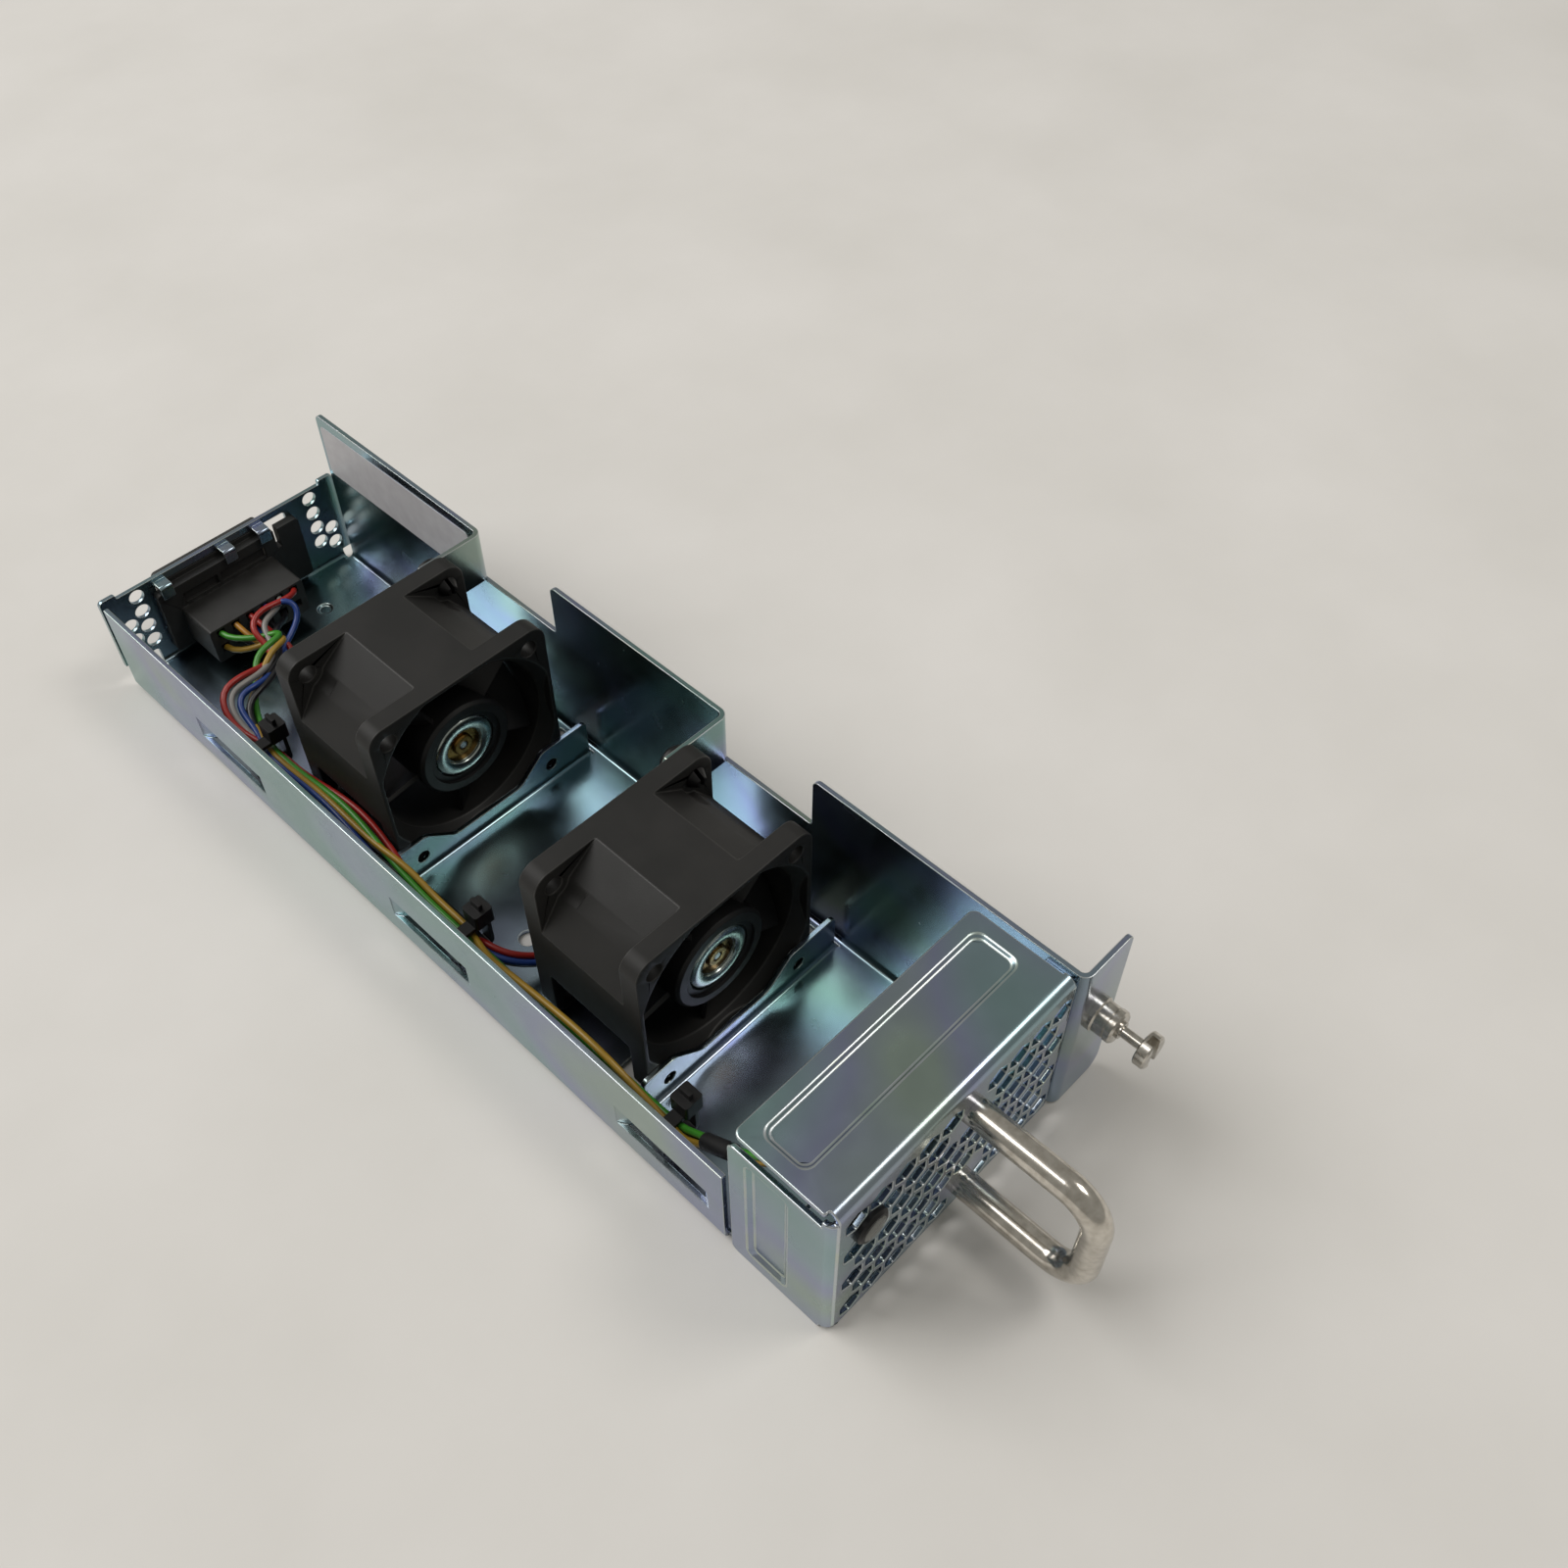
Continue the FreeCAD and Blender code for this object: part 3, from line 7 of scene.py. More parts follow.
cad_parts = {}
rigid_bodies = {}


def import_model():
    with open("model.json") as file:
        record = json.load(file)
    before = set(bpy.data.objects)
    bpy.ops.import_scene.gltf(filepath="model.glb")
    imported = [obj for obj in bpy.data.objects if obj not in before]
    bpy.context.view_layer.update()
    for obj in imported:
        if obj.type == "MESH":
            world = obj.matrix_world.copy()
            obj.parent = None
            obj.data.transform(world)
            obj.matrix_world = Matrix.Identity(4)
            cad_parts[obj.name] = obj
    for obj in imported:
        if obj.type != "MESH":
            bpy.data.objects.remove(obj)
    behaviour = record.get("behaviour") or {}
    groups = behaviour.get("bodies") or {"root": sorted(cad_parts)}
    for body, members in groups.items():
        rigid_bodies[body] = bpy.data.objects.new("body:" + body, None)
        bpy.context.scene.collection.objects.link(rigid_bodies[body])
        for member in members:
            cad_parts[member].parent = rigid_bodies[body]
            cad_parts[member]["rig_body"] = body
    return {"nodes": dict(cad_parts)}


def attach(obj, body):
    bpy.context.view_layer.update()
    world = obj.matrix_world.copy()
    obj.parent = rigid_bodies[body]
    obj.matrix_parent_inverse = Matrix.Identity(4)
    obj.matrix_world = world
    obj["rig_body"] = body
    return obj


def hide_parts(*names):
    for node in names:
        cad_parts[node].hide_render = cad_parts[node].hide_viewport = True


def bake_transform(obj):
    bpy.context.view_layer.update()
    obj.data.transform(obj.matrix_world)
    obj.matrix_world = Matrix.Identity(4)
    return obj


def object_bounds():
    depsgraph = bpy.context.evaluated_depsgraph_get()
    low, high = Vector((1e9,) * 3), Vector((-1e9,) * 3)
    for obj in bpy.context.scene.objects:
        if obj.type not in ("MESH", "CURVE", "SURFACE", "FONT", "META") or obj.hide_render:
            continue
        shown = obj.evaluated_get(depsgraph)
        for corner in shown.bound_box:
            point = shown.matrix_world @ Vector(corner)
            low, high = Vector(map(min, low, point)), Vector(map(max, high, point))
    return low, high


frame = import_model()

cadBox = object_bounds()
print("frame loaded:", len(frame["nodes"]), "nodes")

# Places below are written as on the drawing: millimetres from the left wall, the grille and the floor
leftWall = -28.5
grilleFace = -101.0


def place(x, y, z):
    return Vector(((leftWall + x) / 1000, (grilleFace + y) / 1000, z / 1000))


def drawingY(point):
    return point.y * 1000 - grilleFace


def deselectAll():
    if bpy.context.object and bpy.context.object.mode != "OBJECT":
        bpy.ops.object.mode_set(mode="OBJECT")
    bpy.ops.object.select_all(action="DESELECT")


def makeActive(piece):
    deselectAll()
    piece.select_set(True)
    bpy.context.view_layer.objects.active = piece


def addObject(name, data):
    piece = bpy.data.objects.new(name, data)
    bpy.context.collection.objects.link(piece)
    return piece


def dress(mesh, *materials):
    mesh.materials.clear()
    for material in materials:
        mesh.materials.append(material)


deselectAll()

# Camera first: its place in mm, its turns in degrees, its lens and sensor in mm
cameraView = {"x": -98.3, "y": -157.5, "z": 245.4, "yaw": 46.39, "pitch": 50.63, "roll": 0.30,
              "lens": 36.1, "sensor": 36, "nearest": 10}


def addCamera(view):
    data = bpy.data.cameras.new("trayCamera")
    data.sensor_width = view["sensor"]
    data.lens = view["lens"]
    data.clip_start = view["nearest"] / 1000
    camera = addObject("trayCamera", data)
    turn = Matrix.Rotation(-math.radians(view["yaw"]), 4, "Z")
    tilt = Matrix.Rotation(math.radians(90 - view["pitch"]), 4, "X")
    roll = Matrix.Rotation(math.radians(view["roll"]), 4, "Z")
    spot = Vector((view["x"], view["y"], view["z"])) / 1000
    camera.matrix_world = Matrix.Translation(spot) @ turn @ tilt @ roll
    bpy.context.scene.camera = camera


addCamera(cameraView)
print("camera set")


# Colours are written as sRGB hex, and Blender works in linear light
def colour(text):
    parts = [int(text[i:i + 2], 16) / 255 for i in (1, 3, 5)]
    return tuple([p / 12.92 if p <= 0.04045 else ((p + 0.055) / 1.055) ** 2.4 for p in parts] + [1.0])


# Adds one node and sets its settings, its inputs, and the stops of its colour ramp if it has one. An input
# that is given a socket is linked to it, and anything else is a value
def addNode(tree, kind, inputs=None, settings=None, stops=None):
    node = tree.nodes.new(kind)
    for key, value in (settings or {}).items():
        setattr(node, key, value)
    for key, value in (inputs or {}).items():
        if isinstance(value, bpy.types.NodeSocket):
            tree.links.new(value, node.inputs[key])
        else:
            node.inputs[key].default_value = value
    if stops:
        elements = node.color_ramp.elements
        while len(elements) < len(stops):
            elements.new(0.5)
        for element, (spot, shade) in zip(elements, stops):
            element.position = spot
            element.color = colour(shade)
    return node


# An empty material, its tree and the object coordinates that its patterns lie in
def newMaterial(name):
    material = bpy.data.materials.new(name)
    material.use_nodes = True
    tree = material.node_tree
    tree.nodes.clear()
    return material, tree, addNode(tree, "ShaderNodeTexCoord").outputs["Object"]


# Nearly all of a noise pattern's values lie between these two
noiseLow = 0.3
noiseHigh = 0.7
edgeSamples = 4

# Zinc plate with a thin blue passivate on cold-rolled sheet: a soft mirror that drifts slowly between
# blue, lavender and green, and the sheet's fine rolled grain, drawn coarse enough to show. Sizes in mm
zincSheet = {
    "tints": [(0.34, "#88a7a5"), (0.45, "#94a9b3"), (0.56, "#979fba"), (0.68, "#9daea6")],
    "tintSize": 34, "tintLean": (0.0, 0.5, 0.6), "tintStretch": (1.0, 0.75, 1.3),
    "grainSize": 0.3, "grainDepth": 0.0005, "grainStrength": 0.12, "cloudSize": 7, "roughness": (0.2, 0.28),
}
# The rounded edges of the zinc sheet: paler tints, a painted highlight along every rounded edge, and a
# rougher finish
zincEdgeHighlight = {
    **zincSheet, "tintSize": 12, "roughness": (0.24, 0.36),
    "tints": [(0.34, "#b2c2bd"), (0.45, "#b9c4c4"), (0.56, "#bcc2c8"), (0.68, "#c0c8bf")],
}


def makeZincSheet(name, recipe):
    material, tree, spot = newMaterial(name)
    lean = addNode(tree, "ShaderNodeMapping", {
        "Vector": spot, "Rotation": recipe["tintLean"], "Scale": recipe["tintStretch"]})
    slow = addNode(tree, "ShaderNodeTexNoise", {
        "Vector": lean.outputs["Vector"], "Scale": 1000 / recipe["tintSize"], "Detail": 1.5,
        "Roughness": 0.4, "Distortion": 0.4})
    tint = addNode(tree, "ShaderNodeValToRGB", {"Fac": slow.outputs["Fac"]}, stops=recipe["tints"])
    grain = addNode(tree, "ShaderNodeTexNoise", {
        "Vector": spot, "Scale": 1000 / recipe["grainSize"], "Detail": 2.0})
    cloud = addNode(tree, "ShaderNodeTexNoise", {
        "Vector": spot, "Scale": 1000 / recipe["cloudSize"], "Detail": 4.0})
    low, high = recipe["roughness"]
    gloss = addNode(tree, "ShaderNodeMapRange", {
        "Value": cloud.outputs["Fac"], "From Min": noiseLow, "From Max": noiseHigh,
        "To Min": low, "To Max": high})
    bump = addNode(tree, "ShaderNodeBump", {
        "Height": grain.outputs["Fac"], "Strength": recipe["grainStrength"],
        "Distance": recipe["grainDepth"] / 1000})
    shader = addNode(tree, "ShaderNodeBsdfPrincipled", {
        "Base Color": tint.outputs["Color"], "Metallic": 1.0, "Roughness": gloss.outputs["Result"],
        "Normal": bump.outputs["Normal"]})
    addNode(tree, "ShaderNodeOutputMaterial", {"Surface": shader.outputs["BSDF"]})
    return material


# Any other metal: a little cloudiness in its polish, in spots of about 1.4 mm, and edges that catch light
metalPolish = {"cloudScale": 700.0, "clear": 0.35, "dull": 0.7, "smoother": 0.8, "rougher": 1.3,
               "depth": 0.01, "strength": 0.25, "edgeRadius": 0.08}


# Lines, where it has them, are those of the lathe or of the drawing die
def makeMetal(name, shade, dull, roughness, lines=None):
    material, tree, spot = newMaterial(name)
    cloud = addNode(tree, "ShaderNodeTexNoise", {
        "Vector": spot, "Scale": metalPolish["cloudScale"], "Detail": 4.0})
    tint = addNode(tree, "ShaderNodeValToRGB", {"Fac": cloud.outputs["Fac"]},
                   stops=[(metalPolish["clear"], shade), (metalPolish["dull"], dull)])
    gloss = addNode(tree, "ShaderNodeMapRange", {
        "Value": cloud.outputs["Fac"], "From Min": noiseLow, "From Max": noiseHigh,
        "To Min": roughness * metalPolish["smoother"], "To Max": roughness * metalPolish["rougher"]})
    soft = addNode(tree, "ShaderNodeBevel", {"Radius": metalPolish["edgeRadius"] / 1000},
                   {"samples": edgeSamples})
    height, depth = cloud.outputs["Fac"], metalPolish["depth"]
    if lines:
        stretched = addNode(tree, "ShaderNodeMapping", {"Vector": spot, "Scale": lines["scale"]})
        grain = addNode(tree, "ShaderNodeTexNoise", {
            "Vector": stretched.outputs["Vector"], "Scale": 1000.0, "Detail": 2.0})
        height, depth = grain.outputs["Fac"], lines["depth"]
    bump = addNode(tree, "ShaderNodeBump", {
        "Height": height, "Strength": metalPolish["strength"], "Distance": depth / 1000,
        "Normal": soft.outputs["Normal"]})
    shader = addNode(tree, "ShaderNodeBsdfPrincipled", {
        "Base Color": tint.outputs["Color"], "Metallic": 1.0, "Roughness": gloss.outputs["Result"],
        "Normal": bump.outputs["Normal"]})
    addNode(tree, "ShaderNodeOutputMaterial", {"Surface": shader.outputs["BSDF"]})
    return material


# Moulded plastic: a spark-eroded mould grain, slight cloudiness, and paler rubbed places. Sizes in mm
mouldedSkin = {"wearSize": 14, "plain": 0.42, "rubbed": 0.78, "worn": 0.75, "dulling": 0.14,
               "strength": 0.35}


def makePlastic(name, shade, rubbed, roughness, grain=0.25, depth=0.02, edgeRadius=0.25, specular=0.5):
    material, tree, spot = newMaterial(name)
    skin = addNode(tree, "ShaderNodeTexNoise", {"Vector": spot, "Scale": 1000 / grain, "Detail": 2.0})
    wear = addNode(tree, "ShaderNodeTexNoise", {
        "Vector": spot, "Scale": 1000 / mouldedSkin["wearSize"], "Detail": 5.0, "Roughness": 0.6})
    tint = addNode(tree, "ShaderNodeValToRGB", {"Fac": wear.outputs["Fac"]},
                   stops=[(mouldedSkin["plain"], shade), (mouldedSkin["rubbed"], rubbed)])
    gloss = addNode(tree, "ShaderNodeMapRange", {
        "Value": wear.outputs["Fac"], "From Min": noiseLow, "From Max": mouldedSkin["worn"],
        "To Min": roughness, "To Max": roughness + mouldedSkin["dulling"]})
    soft = addNode(tree, "ShaderNodeBevel", {"Radius": edgeRadius / 1000}, {"samples": edgeSamples})
    bump = addNode(tree, "ShaderNodeBump", {
        "Height": skin.outputs["Fac"], "Strength": mouldedSkin["strength"], "Distance": depth / 1000,
        "Normal": soft.outputs["Normal"]})
    shader = addNode(tree, "ShaderNodeBsdfPrincipled", {
        "Base Color": tint.outputs["Color"], "Roughness": gloss.outputs["Result"], "IOR": 1.5,
        "Specular IOR Level": specular, "Normal": bump.outputs["Normal"]})
    addNode(tree, "ShaderNodeOutputMaterial", {"Surface": shader.outputs["BSDF"]})
    return material


# Cast epoxy lens: water clear, with the light's metal cup only dimly seen through it
clearEpoxy = {"hazeScale": 900.0, "tints": [(0.3, "#dfe4e0"), (0.8, "#c8cfca")], "roughness": 0.12,
              "clearness": 0.55}


def makeLens(name, recipe):
    material, tree, spot = newMaterial(name)
    haze = addNode(tree, "ShaderNodeTexNoise", {"Vector": spot, "Scale": recipe["hazeScale"], "Detail": 2.0})
    tint = addNode(tree, "ShaderNodeValToRGB", {"Fac": haze.outputs["Fac"]}, stops=recipe["tints"])
    shader = addNode(tree, "ShaderNodeBsdfPrincipled", {
        "Base Color": tint.outputs["Color"], "Roughness": recipe["roughness"], "IOR": 1.53,
        "Transmission Weight": recipe["clearness"]})
    addNode(tree, "ShaderNodeOutputMaterial", {"Surface": shader.outputs["BSDF"]})
    return material


# Coated polyester label, left bare: a smooth eggshell white with the faintest mottle. Sizes in mm
bareStock = {"mottleSize": 3.0, "tints": [(0.3, "#c8c7ca"), (0.7, "#bebcc0")], "depth": 0.02,
             "strength": 0.2, "roughness": 0.42}


def makeLabel(name, recipe):
    material, tree, spot = newMaterial(name)
    mottle = addNode(tree, "ShaderNodeTexNoise", {
        "Vector": spot, "Scale": 1000 / recipe["mottleSize"], "Detail": 4.0})
    tint = addNode(tree, "ShaderNodeValToRGB", {"Fac": mottle.outputs["Fac"]}, stops=recipe["tints"])
    bump = addNode(tree, "ShaderNodeBump", {
        "Height": mottle.outputs["Fac"], "Strength": recipe["strength"],
        "Distance": recipe["depth"] / 1000})
    shader = addNode(tree, "ShaderNodeBsdfPrincipled", {
        "Base Color": tint.outputs["Color"], "Roughness": recipe["roughness"],
        "Normal": bump.outputs["Normal"]})
    addNode(tree, "ShaderNodeOutputMaterial", {"Surface": shader.outputs["BSDF"]})
    return material


# PVC wire insulation: coloured through, with a waxy sheen that drifts along it. Sizes in mm
pvcSkin = {"driftSize": 5.0, "darker": 0.72, "roughness": (0.26, 0.42)}


def makeInsulation(name, shade, recipe):
    material, tree, spot = newMaterial(name)
    drift = addNode(tree, "ShaderNodeTexNoise", {
        "Vector": spot, "Scale": 1000 / recipe["driftSize"], "Detail": 3.0})
    base = colour(shade)
    darker = tuple([part * recipe["darker"] for part in base[:3]] + [1.0])
    tint = addNode(tree, "ShaderNodeMix", {"Factor": drift.outputs["Fac"], "A": base, "B": darker},
                   {"data_type": "RGBA"})
    low, high = recipe["roughness"]
    gloss = addNode(tree, "ShaderNodeMapRange", {
        "Value": drift.outputs["Fac"], "To Min": low, "To Max": high})
    shader = addNode(tree, "ShaderNodeBsdfPrincipled", {
        "Base Color": tint.outputs["Result"], "Roughness": gloss.outputs["Result"], "IOR": 1.53})
    addNode(tree, "ShaderNodeOutputMaterial", {"Surface": shader.outputs["BSDF"]})
    return material


finishes = {
    "zincPlate": makeZincSheet("bluePassivatedZinc", zincSheet),
    "zincEdgeHighlight": makeZincSheet("bluePassivatedZincPaintedHighlight", zincEdgeHighlight),
    "nickelPlate": makeMetal("brightNickelPlate", "#d8d3ca", "#bdb7ad", 0.17),
    "turnedNickel": makeMetal("turnedNickelPlate", "#d2cec6", "#a9a49b", 0.20,
                              lines={"scale": (1.0, 40.0, 1.0), "depth": 0.003}),
    "springSteel": makeMetal("springSteel", "#a8a8aa", "#8c8c90", 0.26),
    "framePlastic": makePlastic("glassFilledPolyester", "#171716", "#222120", 0.50, grain=0.35, depth=0.03,
                                specular=0.36),
    # The rounded edges of the fan housings: a paler tint, a painted highlight, and a glossier finish
    "framePlasticEdgeHighlight": makePlastic("glassFilledPolyesterPaintedHighlight", "#232322", "#333230", 0.40, grain=0.35,
                                    specular=0.45),
    "bladePlastic": makePlastic("mouldedImpeller", "#101011", "#1a1a1b", 0.42, specular=0.36),
    "tieNylon": makePlastic("blackNylon", "#080809", "#101011", 0.38, edgeRadius=0.15, specular=0.34),
    "plugPlastic": makePlastic("mouldedPlugHousing", "#272726", "#343433", 0.44, edgeRadius=0.15,
                               specular=0.45),
    "contactGold": makeMetal("goldFlashContact", "#d9b45c", "#c09a48", 0.22),
    "clearLens": makeLens("clearEpoxyLens", clearEpoxy),
    "smokeLens": makePlastic("smokedLens", "#555753", "#6d6f6a", 0.16, grain=0.8, depth=0.004, specular=0.6),
    "shrinkTube": makePlastic("shrinkTube", "#131314", "#222223", 0.52, grain=0.2),
    "rotorSteel": makeMetal("zincPlatedRotorCup", "#b9c2be", "#a5afac", 0.22,
                            lines={"scale": (1.0, 30.0, 1.0), "depth": 0.0015}),
    "sinteredFerrite": makePlastic("sinteredFerrite", "#2c2c2e", "#3a3a3b", 0.6),
    "turnedBrass": makeMetal("turnedBrass", "#8f6c35", "#624921", 0.24,
                             lines={"scale": (1.0, 40.0, 1.0), "depth": 0.002}),
    "enamelledCopper": makeMetal("enamelledCopperWire", "#7a4722", "#553018", 0.30,
                                 lines={"scale": (8.0, 1.0, 1.0), "depth": 0.01}),
    "solderMask": makePlastic("greenSolderMask", "#1d5a38", "#28704a", 0.3),
    "labelStock": makeLabel("bareLabelStock", bareStock),
}

nodeFinishes = {
    "tray_chassis": "zincPlate", "front_panel": "zincPlate", "pull_handle": "nickelPlate",
    "handle_screws": "turnedNickel", "screw_ferrule": "turnedNickel", "captive_screw": "turnedNickel",
    "screw_knob": "turnedNickel", "screw_retainer": "springSteel", "screw_snap_ring": "springSteel",
    "screw_spring": "springSteel", "fan_rivets": "tieNylon", "cable_ties": "tieNylon",
    "led_holder": "tieNylon", "connector_housing": "plugPlastic", "connector_contacts": "contactGold",
    "led": "clearLens", "shrink_sleeve": "shrinkTube",
}
fanFinishes = {
    "housing": "framePlastic", "impeller": "bladePlastic", "rotor_yoke": "rotorSteel",
    "magnet_ring": "sinteredFerrite", "rotor_boss": "turnedBrass", "rotor_shaft": "springSteel",
    "ball_bearings": "springSteel", "stator_core": "rotorSteel", "stator_coils": "enamelledCopper",
    "motor_board": "solderMask",
}
for fanName in ("front_fan", "rear_fan"):
    for pieceName, finish in fanFinishes.items():
        nodeFinishes[fanName + "_" + pieceName] = finish

for nodeName, finish in nodeFinishes.items():
    dress(frame["nodes"][nodeName].data, finishes[finish])
print("finishes on", len(nodeFinishes), "nodes")

# Pieces whose edges are softly rounded, by the press or the mould: edge radius in mm, its steps, and the
# finishes of the faces and of the rounded edges; on the zinc and the fan housings the edges' paler finish
# is a painted highlight. Flat triangles left of and behind "joinFlat", in mm from the left wall and the
# grille's face, are joined first, so that no needle faces are left beside the edges
softEdges = {
    "tray_chassis": {"radius": 0.14, "steps": 2, "finish": "zincPlate", "edge": "zincEdgeHighlight",
                     "joinFlat": (70.0, -5.0)},
    "front_panel": {"radius": 0.24, "steps": 3, "finish": "zincPlate", "edge": "zincEdgeHighlight",
                    "joinFlat": (1.2, 1.2)},
    "front_fan_housing": {"radius": 0.22, "steps": 2, "finish": "framePlastic", "edge": "framePlasticEdgeHighlight"},
    "rear_fan_housing": {"radius": 0.22, "steps": 2, "finish": "framePlastic", "edge": "framePlasticEdgeHighlight"},
    "connector_housing": {"radius": 0.12, "steps": 2, "finish": "plugPlastic", "edge": "plugPlastic"},
}
# Angles in degrees: faces within "flat" are one face, and edges past "sharp" are rounded. "weld" is in mm,
# and "stray" is the share of the radius that a rounded corner may leave the solid's surface by
edgeRules = {"weld": 0.002, "flat": 0.3, "sharp": 32, "smooth": 34, "stray": 0.45}


def joinFlatFaces(piece, right, front):
    limit = place(right, front, 0.0)
    bpy.ops.mesh.select_mode(type="FACE")
    bpy.ops.mesh.select_all(action="DESELECT")
    bpy.ops.object.mode_set(mode="OBJECT")
    for face in piece.data.polygons:
        face.select = face.center.x < limit[0] and face.center.y > limit[1]
    bpy.ops.object.mode_set(mode="EDIT")
    bpy.ops.mesh.dissolve_limited(angle_limit=math.radians(edgeRules["flat"]))


def bevelEdges(piece, size):
    bevel = piece.modifiers.new("softEdge", "BEVEL")
    bevel.width = size["radius"] / 1000
    bevel.segments = size["steps"]
    bevel.limit_method = "ANGLE"
    bevel.angle_limit = math.radians(edgeRules["sharp"])
    bevel.use_clamp_overlap = False
    bevel.miter_outer = "MITER_ARC"
    bevel.material = 1  # the finish of the rounded edges, a painted highlight on the zinc and the fan housings
    bpy.ops.object.modifier_apply(modifier=bevel.name)


# Where edges crowd, the bevel throws points off the sheet: they go back to the solid's surface
def putBackStrays(piece, node, radius):
    surface = BVHTree.FromPolygons([vertex.co for vertex in node.data.vertices],
                                   [face.vertices[:] for face in node.data.polygons])
    strays = 0
    for vertex in piece.data.vertices:
        nearest, normal, face, away = surface.find_nearest(vertex.co)
        if away * 1000 > radius * edgeRules["stray"]:
            vertex.co = nearest
            strays += 1
    return strays


# A copy of a node with its sharp edges rounded and its flat faces shaded flat
def roundEdges(nodeName, size):
    node = frame["nodes"][nodeName]
    piece = addObject(nodeName + "_soft", node.data.copy())
    dress(piece.data, finishes[size["finish"]], finishes[size["edge"]])
    makeActive(piece)
    bpy.ops.object.mode_set(mode="EDIT")
    bpy.ops.mesh.select_all(action="SELECT")
    bpy.ops.mesh.customdata_custom_splitnormals_clear()
    bpy.ops.mesh.remove_doubles(threshold=edgeRules["weld"] / 1000)
    if "joinFlat" in size:
        joinFlatFaces(piece, *size["joinFlat"])
    bpy.ops.object.mode_set(mode="OBJECT")
    bevelEdges(piece, size)
    print("strays put back:", nodeName, putBackStrays(piece, node, size["radius"]))
    bpy.ops.object.shade_smooth_by_angle(angle=math.radians(edgeRules["smooth"]))
    flat = piece.modifiers.new("flatFaces", "WEIGHTED_NORMAL")
    flat.keep_sharp = True
    bpy.ops.object.modifier_apply(modifier=flat.name)
    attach(piece, node["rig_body"])
    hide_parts(nodeName)
    return piece


for nodeName, size in softEdges.items():
    softened = roundEdges(nodeName, size)
    print("edges rounded:", nodeName, len(softened.data.polygons), "faces")


# Wiring, by the way each insulated wire lies in the photo: its own loose way from the plug to the first tie,
# then the stretch that the ties hold, then its lead. In the ties it lies at an angle round the bundle that
# drifts from the first to the second of "turn" (0 is away from the wall, 90 is up), most of it over the
# "drift" share of the way. "lift", "spread" and "hop" are where the bundle rises, opens, and a wire crosses
wiring = {
    "thickness": 1.3,
    "bound": [(5.6, 162.0, 9.5), (5.6, 152.0, 9.5), (5.5, 146.0, 9.6), (4.9, 134.0, 11.9),
              (4.7, 116.0, 11.8), (5.5, 104.0, 9.5), (5.5, 91.5, 9.5), (5.5, 88.0, 9.5)],
    "boundFrom": 156.0, "boundTo": 93.0, "boundRadius": 1.38, "drift": (0.45, 0.9),
    "lift": {"at": 134.0, "reach": 12.0, "height": 1.8},
    "spread": {"at": 125.0, "reach": 11.0},
    "hop": {"at": 112.0, "reach": 6.0},
    "fanLeads": [(6.2, 90.0, 8.9), (6.65, 86.5, 8.8), (11.0, 83.2, 6.0), (16.5, 81.5, 3.8),
                 (16.5, 77.5, 3.8)],
    "lightLeads": [(4.9, 86.0, 9.9), (4.55, 80.0, 10.1), (4.9, 62.0, 10.8), (5.3, 47.0, 9.4),
                   (5.1, 37.5, 10.6), (5.1, 34.3, 13.1), (5.1, 31.2, 15.5), (5.1, 28.0, 18.0),
                   (5.1, 24.9, 20.5), (5.1, 21.0, 23.5), (7.9, 12.5, 29.3), (7.9, 7.0, 29.3)],
    "colours": {"red": "#a3261f", "blue": "#1f3f86", "black": "#17171a", "yellow": "#a8862e",
                "grey": "#8d8a86", "green": "#3f8f2a", "orange": "#b07a22"},
}
frontFanNodes = ["wire_bundle", "front_fan_leads"]
lightNodes = ["wire_bundle", "status_light_leads"]
